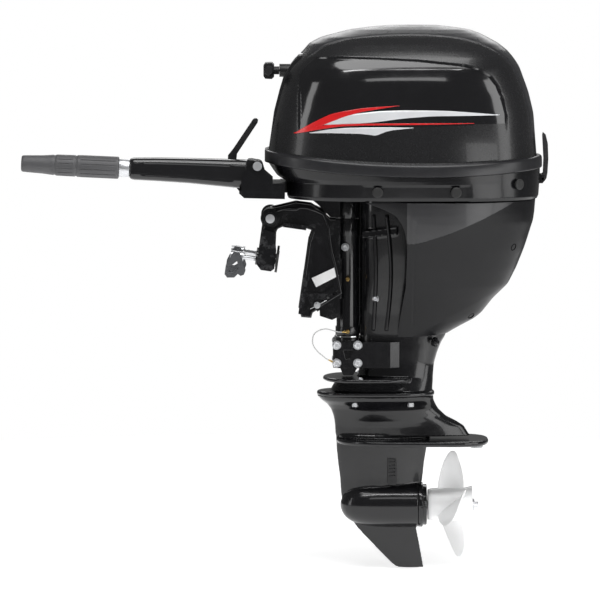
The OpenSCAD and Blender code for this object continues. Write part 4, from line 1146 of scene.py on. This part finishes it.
def bolt_head(at, way, washer, across, height=6.0, look="steel"):
    """Hexagon head with a chamfer on a plain washer, standing on a surface."""
    m = facing(at, way)
    r, w = across / math.sqrt(3), washer / 2
    disc = lathe([(0.01, -2), (w - 0.3, -2), (w, -1.6), (w, 1.1), (w - 0.5, 1.6), (0.01, 1.6)],
                 "part", look, m, 48)
    shade(disc, 40)
    head = lathe([(0.01, 1), (r, 1), (r, height - 1), (r - 1.1, height), (r - 2.2, height),
                  (r - 2.8, height - 0.7), (0.01, height - 0.7)], "part", look, m, 6)
    for p in head.data.polygons:
        p.use_smooth = False
    bevel(head, 0.35)
    bpy.context.view_layer.update()
    return join("part", [disc, baked(head)])


def build_bolts():
    for s, label in ((-1, "port"), (1, "starboard")):
        for name, body, head in (
                ("swivel_bolt_", "swivel", bolt_head((70, 24.6 * s, -36), (0, s, 0), 16, 10.5)),
                ("leg_bolt_", "motor", bolt_head((131, 35.2 * s, -138), (-0.25, s, 0), 14, 9)),
                ("splash_bolt_", "motor", bolt_head((100, 72 * s, -296.4), (0, 0, 1), 11, 7, 4))):
            head.name = name + label
            place(head, body)
    heads = [bolt_head((x, 50.4 * s, z), (0, s, 0), 18, 12.9, 7.8)
             for s in (-1, 1) for x in (53, 95) for z in (-230, -266)]
    place(join("mount_bolt_heads", heads), "motor", ["mount_bolts"])


build_bolts()


# ---------- clamp bracket details ----------

def leaning(ob):
    """Tilt a piece with the clamp brackets about the transom's corner."""
    ob.data.transform(Matrix.Rotation(math.radians(8), 4, "Y"))
    return ob


BRACKET = [
    (-59.8, 37.5), (-34.8, 39.1), (-27.4, 45.2), (-10.5, 46), (6.4, 43.3), (23.9, 38.3),
    (32.5, 24.4), (40, 7), (43.1, -9.3), (50.7, -33.3), (60.5, -57.1), (69.2, -81.2), (77.4, -105),
    (80.9, -115.8), (49.3, -142.5), (34.5, -156.1), (27.8, -162.1), (26.6, -172.3), (6.8, -173.5),
    (0, -159), (0, -23.8), (4.1, -4.7), (2, 1), (-7.9, 2.9), (-14, 0), (-54.4, 0), (-63.8, -5.9),
    (-66, -13.1), (-62.6, -49.2), (-60, -60), (-60, -84), (-66, -90), (-86, -90), (-95.8, -80),
    (-95.8, -3.8), (-98, 12), (-90, 26), (-76, 30)
]
TRIM_HOLES = [(34.6, -145.4), (45, -137.5), (55.6, -128.5), (66, -118.5)]


def inset(pts, d):
    """Outline moved inwards by d."""
    p = np.array(pts, float)
    area2 = np.sum(p[:, 0] * np.roll(p[:, 1], -1) - np.roll(p[:, 0], -1) * p[:, 1])
    e = np.roll(p, -1, 0) - p
    e /= np.linalg.norm(e, axis=1)[:, None]
    n = np.stack([-e[:, 1], e[:, 0]], 1) * np.sign(area2)
    m = n + np.roll(n, 1, 0)
    m /= np.maximum((m ** 2).sum(1) / 2, 0.5)[:, None]
    return p + m * d


def rim(name, outline, width, y0, y1):
    """Raised lip that follows an outline just inside its edge."""
    out = 1 if y1 > y0 else -1
    loops = [(0.6, y0), (0.6, y1 - 1.4 * out), (1.0, y1 - 0.5 * out), (2.0, y1),
             (width - 1.4, y1), (width - 0.4, y1 - 0.5 * out), (width, y1 - 1.4 * out),
             (width, y0)]
    n = len(outline)
    verts = []
    for d, y in loops:
        verts += [(x * MM, y * MM, z * MM) for x, z in inset(outline, d)]
    faces = []
    for k in range(len(loops)):
        for i in range(n):
            a, b = k * n + i, k * n + (i + 1) % n
            c, d = ((k + 1) % len(loops)) * n + (i + 1) % n, ((k + 1) % len(loops)) * n + i
            faces.append((a, d, c, b) if y1 > y0 else (a, b, c, d))
    ob = make_mesh(name, verts, faces, "paint")
    shade(ob, 40)
    return ob


def build_bracket_details():
    """Rims, trim hole strips and tilt tube caps on both sides, and a blank label."""
    for s, side_name in ((-1, "port"), (1, "starboard")):
        lip = leaning(rim("bracket_rim_" + side_name, BRACKET, 5.6, 61.6 * s, 64.2 * s))
        place(lip, "clamp")
        strip = prism_y([(26, -147), (37, -158), (79, -121), (71, -110)], 61.8 * s, 63.6 * s,
                        "part", "paint", edge=0.6)
        strip = cut(strip, [rod((x, 55 * s, z), (x, 70 * s, z), 4.6)
                            for x, z in TRIM_HOLES])
        shade(strip, 35)
        strip.name = "trim_strip_" + side_name
        place(leaning(strip), "clamp")
        cap = lathe([(0.01, -5), (9.5, -5), (9.5, -0.2), (8.9, 0.5), (5, 1.0), (0.01, 1.1)],
                    "part", "steel",
                    Matrix.Translation(Vector((0, 83.6 * s, 0)) * MM)
                    @ Matrix.Rotation(-s * math.pi / 2, 4, "X"), 64)
        shade(cap, 40)
        cap.name = "tilt_tube_cap_" + side_name
        lo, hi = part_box("tilt_tube")
        cap.data.transform(Matrix.Translation(Vector(((lo.x + hi.x) / 2, 0, (lo.z + hi.z) / 2))))
        place(cap, "clamp")
    label = prism_y([(3, -95), (48, -74), (57, -90), (12, -113)], -62.7, -61.8,
                    "blank_label", "label", edge=0.25)
    place(label, "clamp")


build_bracket_details()


# ---------- trim pin clip and thrust washer ----------

def build_pin_clip():
    """Spring clip through the head of the trim pin."""
    x, z = TRIM_HOLES[0]
    path = [(x - 13, -65, z - 9), (x - 4, -65.2, z - 3), (x + 8, -65.2, z + 6),
            (x + 17, -65, z + 12.5)]
    parts = [tube(smooth_path(path, 30), 1.0, "part", "chrome", 16)]
    parts.append(tube(smooth_path([(x - 3, -66, z + 5), (x, -67.6, z), (x + 3, -66, z - 5)], 14),
                      1.0, "part", "chrome", 16))
    place(leaning(join("pin_clip", parts)), "trim_pin")


build_pin_clip()


def build_thrust_washer():
    """Thrust washer under the swivel tube."""
    ob = lathe([(0.01, 0), (25.4, 0), (26, 0.5), (26, 1.9), (25.4, 2.4), (0.01, 2.4)],
               "thrust_washer", "chrome", Matrix.Translation(Vector((75, 0, -217)) * MM), 96)
    shade(ob, 40)
    place(ob, "motor")


build_thrust_washer()


# ---------- CAD nodes shown as they are: material and softened edges ----------

NODE_LOOK = {
    "paint": "clamp_bracket_port clamp_bracket_starboard swivel_bracket steering_bracket "
             "lower_mount_housing exhaust_housing gearcase tilt_lock_lever "
             "water_pump_housing tilt_tube_nuts tilt_tube bearing_carrier",
    "plastic": "front_panel shift_lever recoil_housing carburettor cowl_latch "
               "water_inlet_grilles recoil_handle tiller_arm",
    "tray": "bottom_cowl",
    "apron": "apron_port apron_starboard",
    "rubber": "cowl_plugs clamp_pad_port clamp_pad_starboard water_pump_impeller",
    "steel": "trim_pin gearcase_bolts tiller_pivot_pin "
             "tiller_tube propeller_shaft propeller_nut fuel_connector pistons "
             "clamp_screw_port clamp_screw_starboard",
    "zinc": "clamp_handle_port clamp_handle_starboard",
    "brass": "grease_nipples",
    "iron": "flywheel",
    "gear": "crankshaft driveshaft pinion_gear forward_gear reverse_gear dog_clutch "
            "shift_rod",
    "cast": "cylinder_block cylinder_head",
    "anode": "anode",
    "white": "propeller spark_plugs recoil_pulley",
    "button": "stop_button",
    "grip": "throttle_grip",
    "cowl": "top_cowl",
    "rope": "recoil_rope",
    "red": "bonding_lead",
}
UNBEVELLED = {"pinion_gear", "forward_gear", "reverse_gear", "crankshaft", "flywheel",
              "dog_clutch", "recoil_rope", "bonding_lead"}

for look, names in NODE_LOOK.items():
    for node_name in names.split():
        node = nodes[node_name]
        node.data.materials.clear()
        node.data.materials.append(MAT[look])
        if node_name not in UNBEVELLED and not node.hide_render:
            bevel(node, 0.7)


# ---------- stage, lights and camera ----------

def floor_disc(radius=2.3, z=-0.6862, rings=5, cols=96):
    """Plain pale floor, round, so that no edge of it shows from any side."""
    verts = [(0, 0, z)]
    for k in range(1, rings + 1):
        for i in range(cols):
            a = 2 * math.pi * i / cols
            verts.append((radius * k / rings * math.cos(a), radius * k / rings * math.sin(a), z))
    faces = [(0, 1 + i, 1 + (i + 1) % cols) for i in range(cols)]
    for k in range(rings - 1):
        for i in range(cols):
            a, b = 1 + k * cols + i, 1 + k * cols + (i + 1) % cols
            faces.append((a, a + cols, b + cols, b))
    m, _, bsdf = new_material("floor_white")
    bsdf.inputs["Base Color"].default_value = (0.86, 0.86, 0.86, 1)
    bsdf.inputs["Emission Color"].default_value = (1, 1, 1, 1)
    bsdf.inputs["Emission Strength"].default_value = 0.62
    bsdf.inputs["Roughness"].default_value = 0.9
    MAT["floor"] = m
    ob = make_mesh("floor", verts, faces, "floor", smooth=False)


floor_disc()


def area(name, place_at, aim, size, power):
    """White area light of a width and height, aimed at a point."""
    light = bpy.data.lights.new(name, "AREA")
    light.shape = "RECTANGLE"
    light.size, light.size_y = size
    light.energy = power
    ob = new_object(name, light)
    ob.location = place_at
    ob.rotation_euler = (Vector(aim) - Vector(place_at)).to_track_quat("-Z", "Y").to_euler()


area("key_top", (0.15, -0.7, 2.6), (0.05, 0, 0.0), (2.6, 1.3), 42)
area("soft_left", (-2.6, -1.2, 0.5), (0, 0, -0.1), (0.5, 2.2), 9)
area("prop_fill", (1.3, -1.3, -0.2), (0.28, 0, -0.55), (0.8, 0.8), 6)
area("soft_right", (2.6, -1.1, 0.5), (0, 0, -0.1), (0.8, 2.2), 16)
area("strip_top", (0.1, -1.7, 2.4), (0, 0, -0.1), (2.8, 0.22), 26)
area("front_low", (0.3, -3.4, 2.3), (0, 0, -0.15), (2.2, 0.5), 9)
area("back_soft", (0.2, 3.0, 1.6), (0, 0, -0.1), (2.4, 1.0), 22)


def studio_world(seen=1.0, light=0.13):
    """White where the camera looks past the floor, dim as a light, as a cut-out studio."""
    w = bpy.data.worlds.new("studio")
    w.use_nodes = True
    tree = w.node_tree
    tree.nodes.clear()
    out = tree.nodes.new("ShaderNodeOutputWorld")
    mix = tree.nodes.new("ShaderNodeMixShader")
    path = tree.nodes.new("ShaderNodeLightPath")
    tree.links.new(path.outputs["Is Camera Ray"], mix.inputs[0])
    for k, strength in ((1, light), (2, seen)):
        b = tree.nodes.new("ShaderNodeBackground")
        b.inputs["Strength"].default_value = strength
        tree.links.new(b.outputs[0], mix.inputs[k])
        b.inputs["Color"].default_value = (1, 1, 1, 1)
    tree.links.new(mix.outputs[0], out.inputs["Surface"])
    bpy.context.scene.world = w


studio_world()

cam = bpy.data.cameras.new("camera")
cam.lens = 270
cam.sensor_width = 36
cam.clip_end = 50
cam_ob = new_object("camera", cam)
aim = Vector((-0.02, 0, -0.144))
tilt = math.radians(5)
distance = 9
cam_ob.location = aim + Vector((0, -distance * math.cos(tilt), distance * math.sin(tilt)))
cam_ob.rotation_euler = (math.pi / 2 - tilt, 0, 0)
bpy.context.scene.camera = cam_ob
bpy.context.scene.view_settings.view_transform = "Standard"
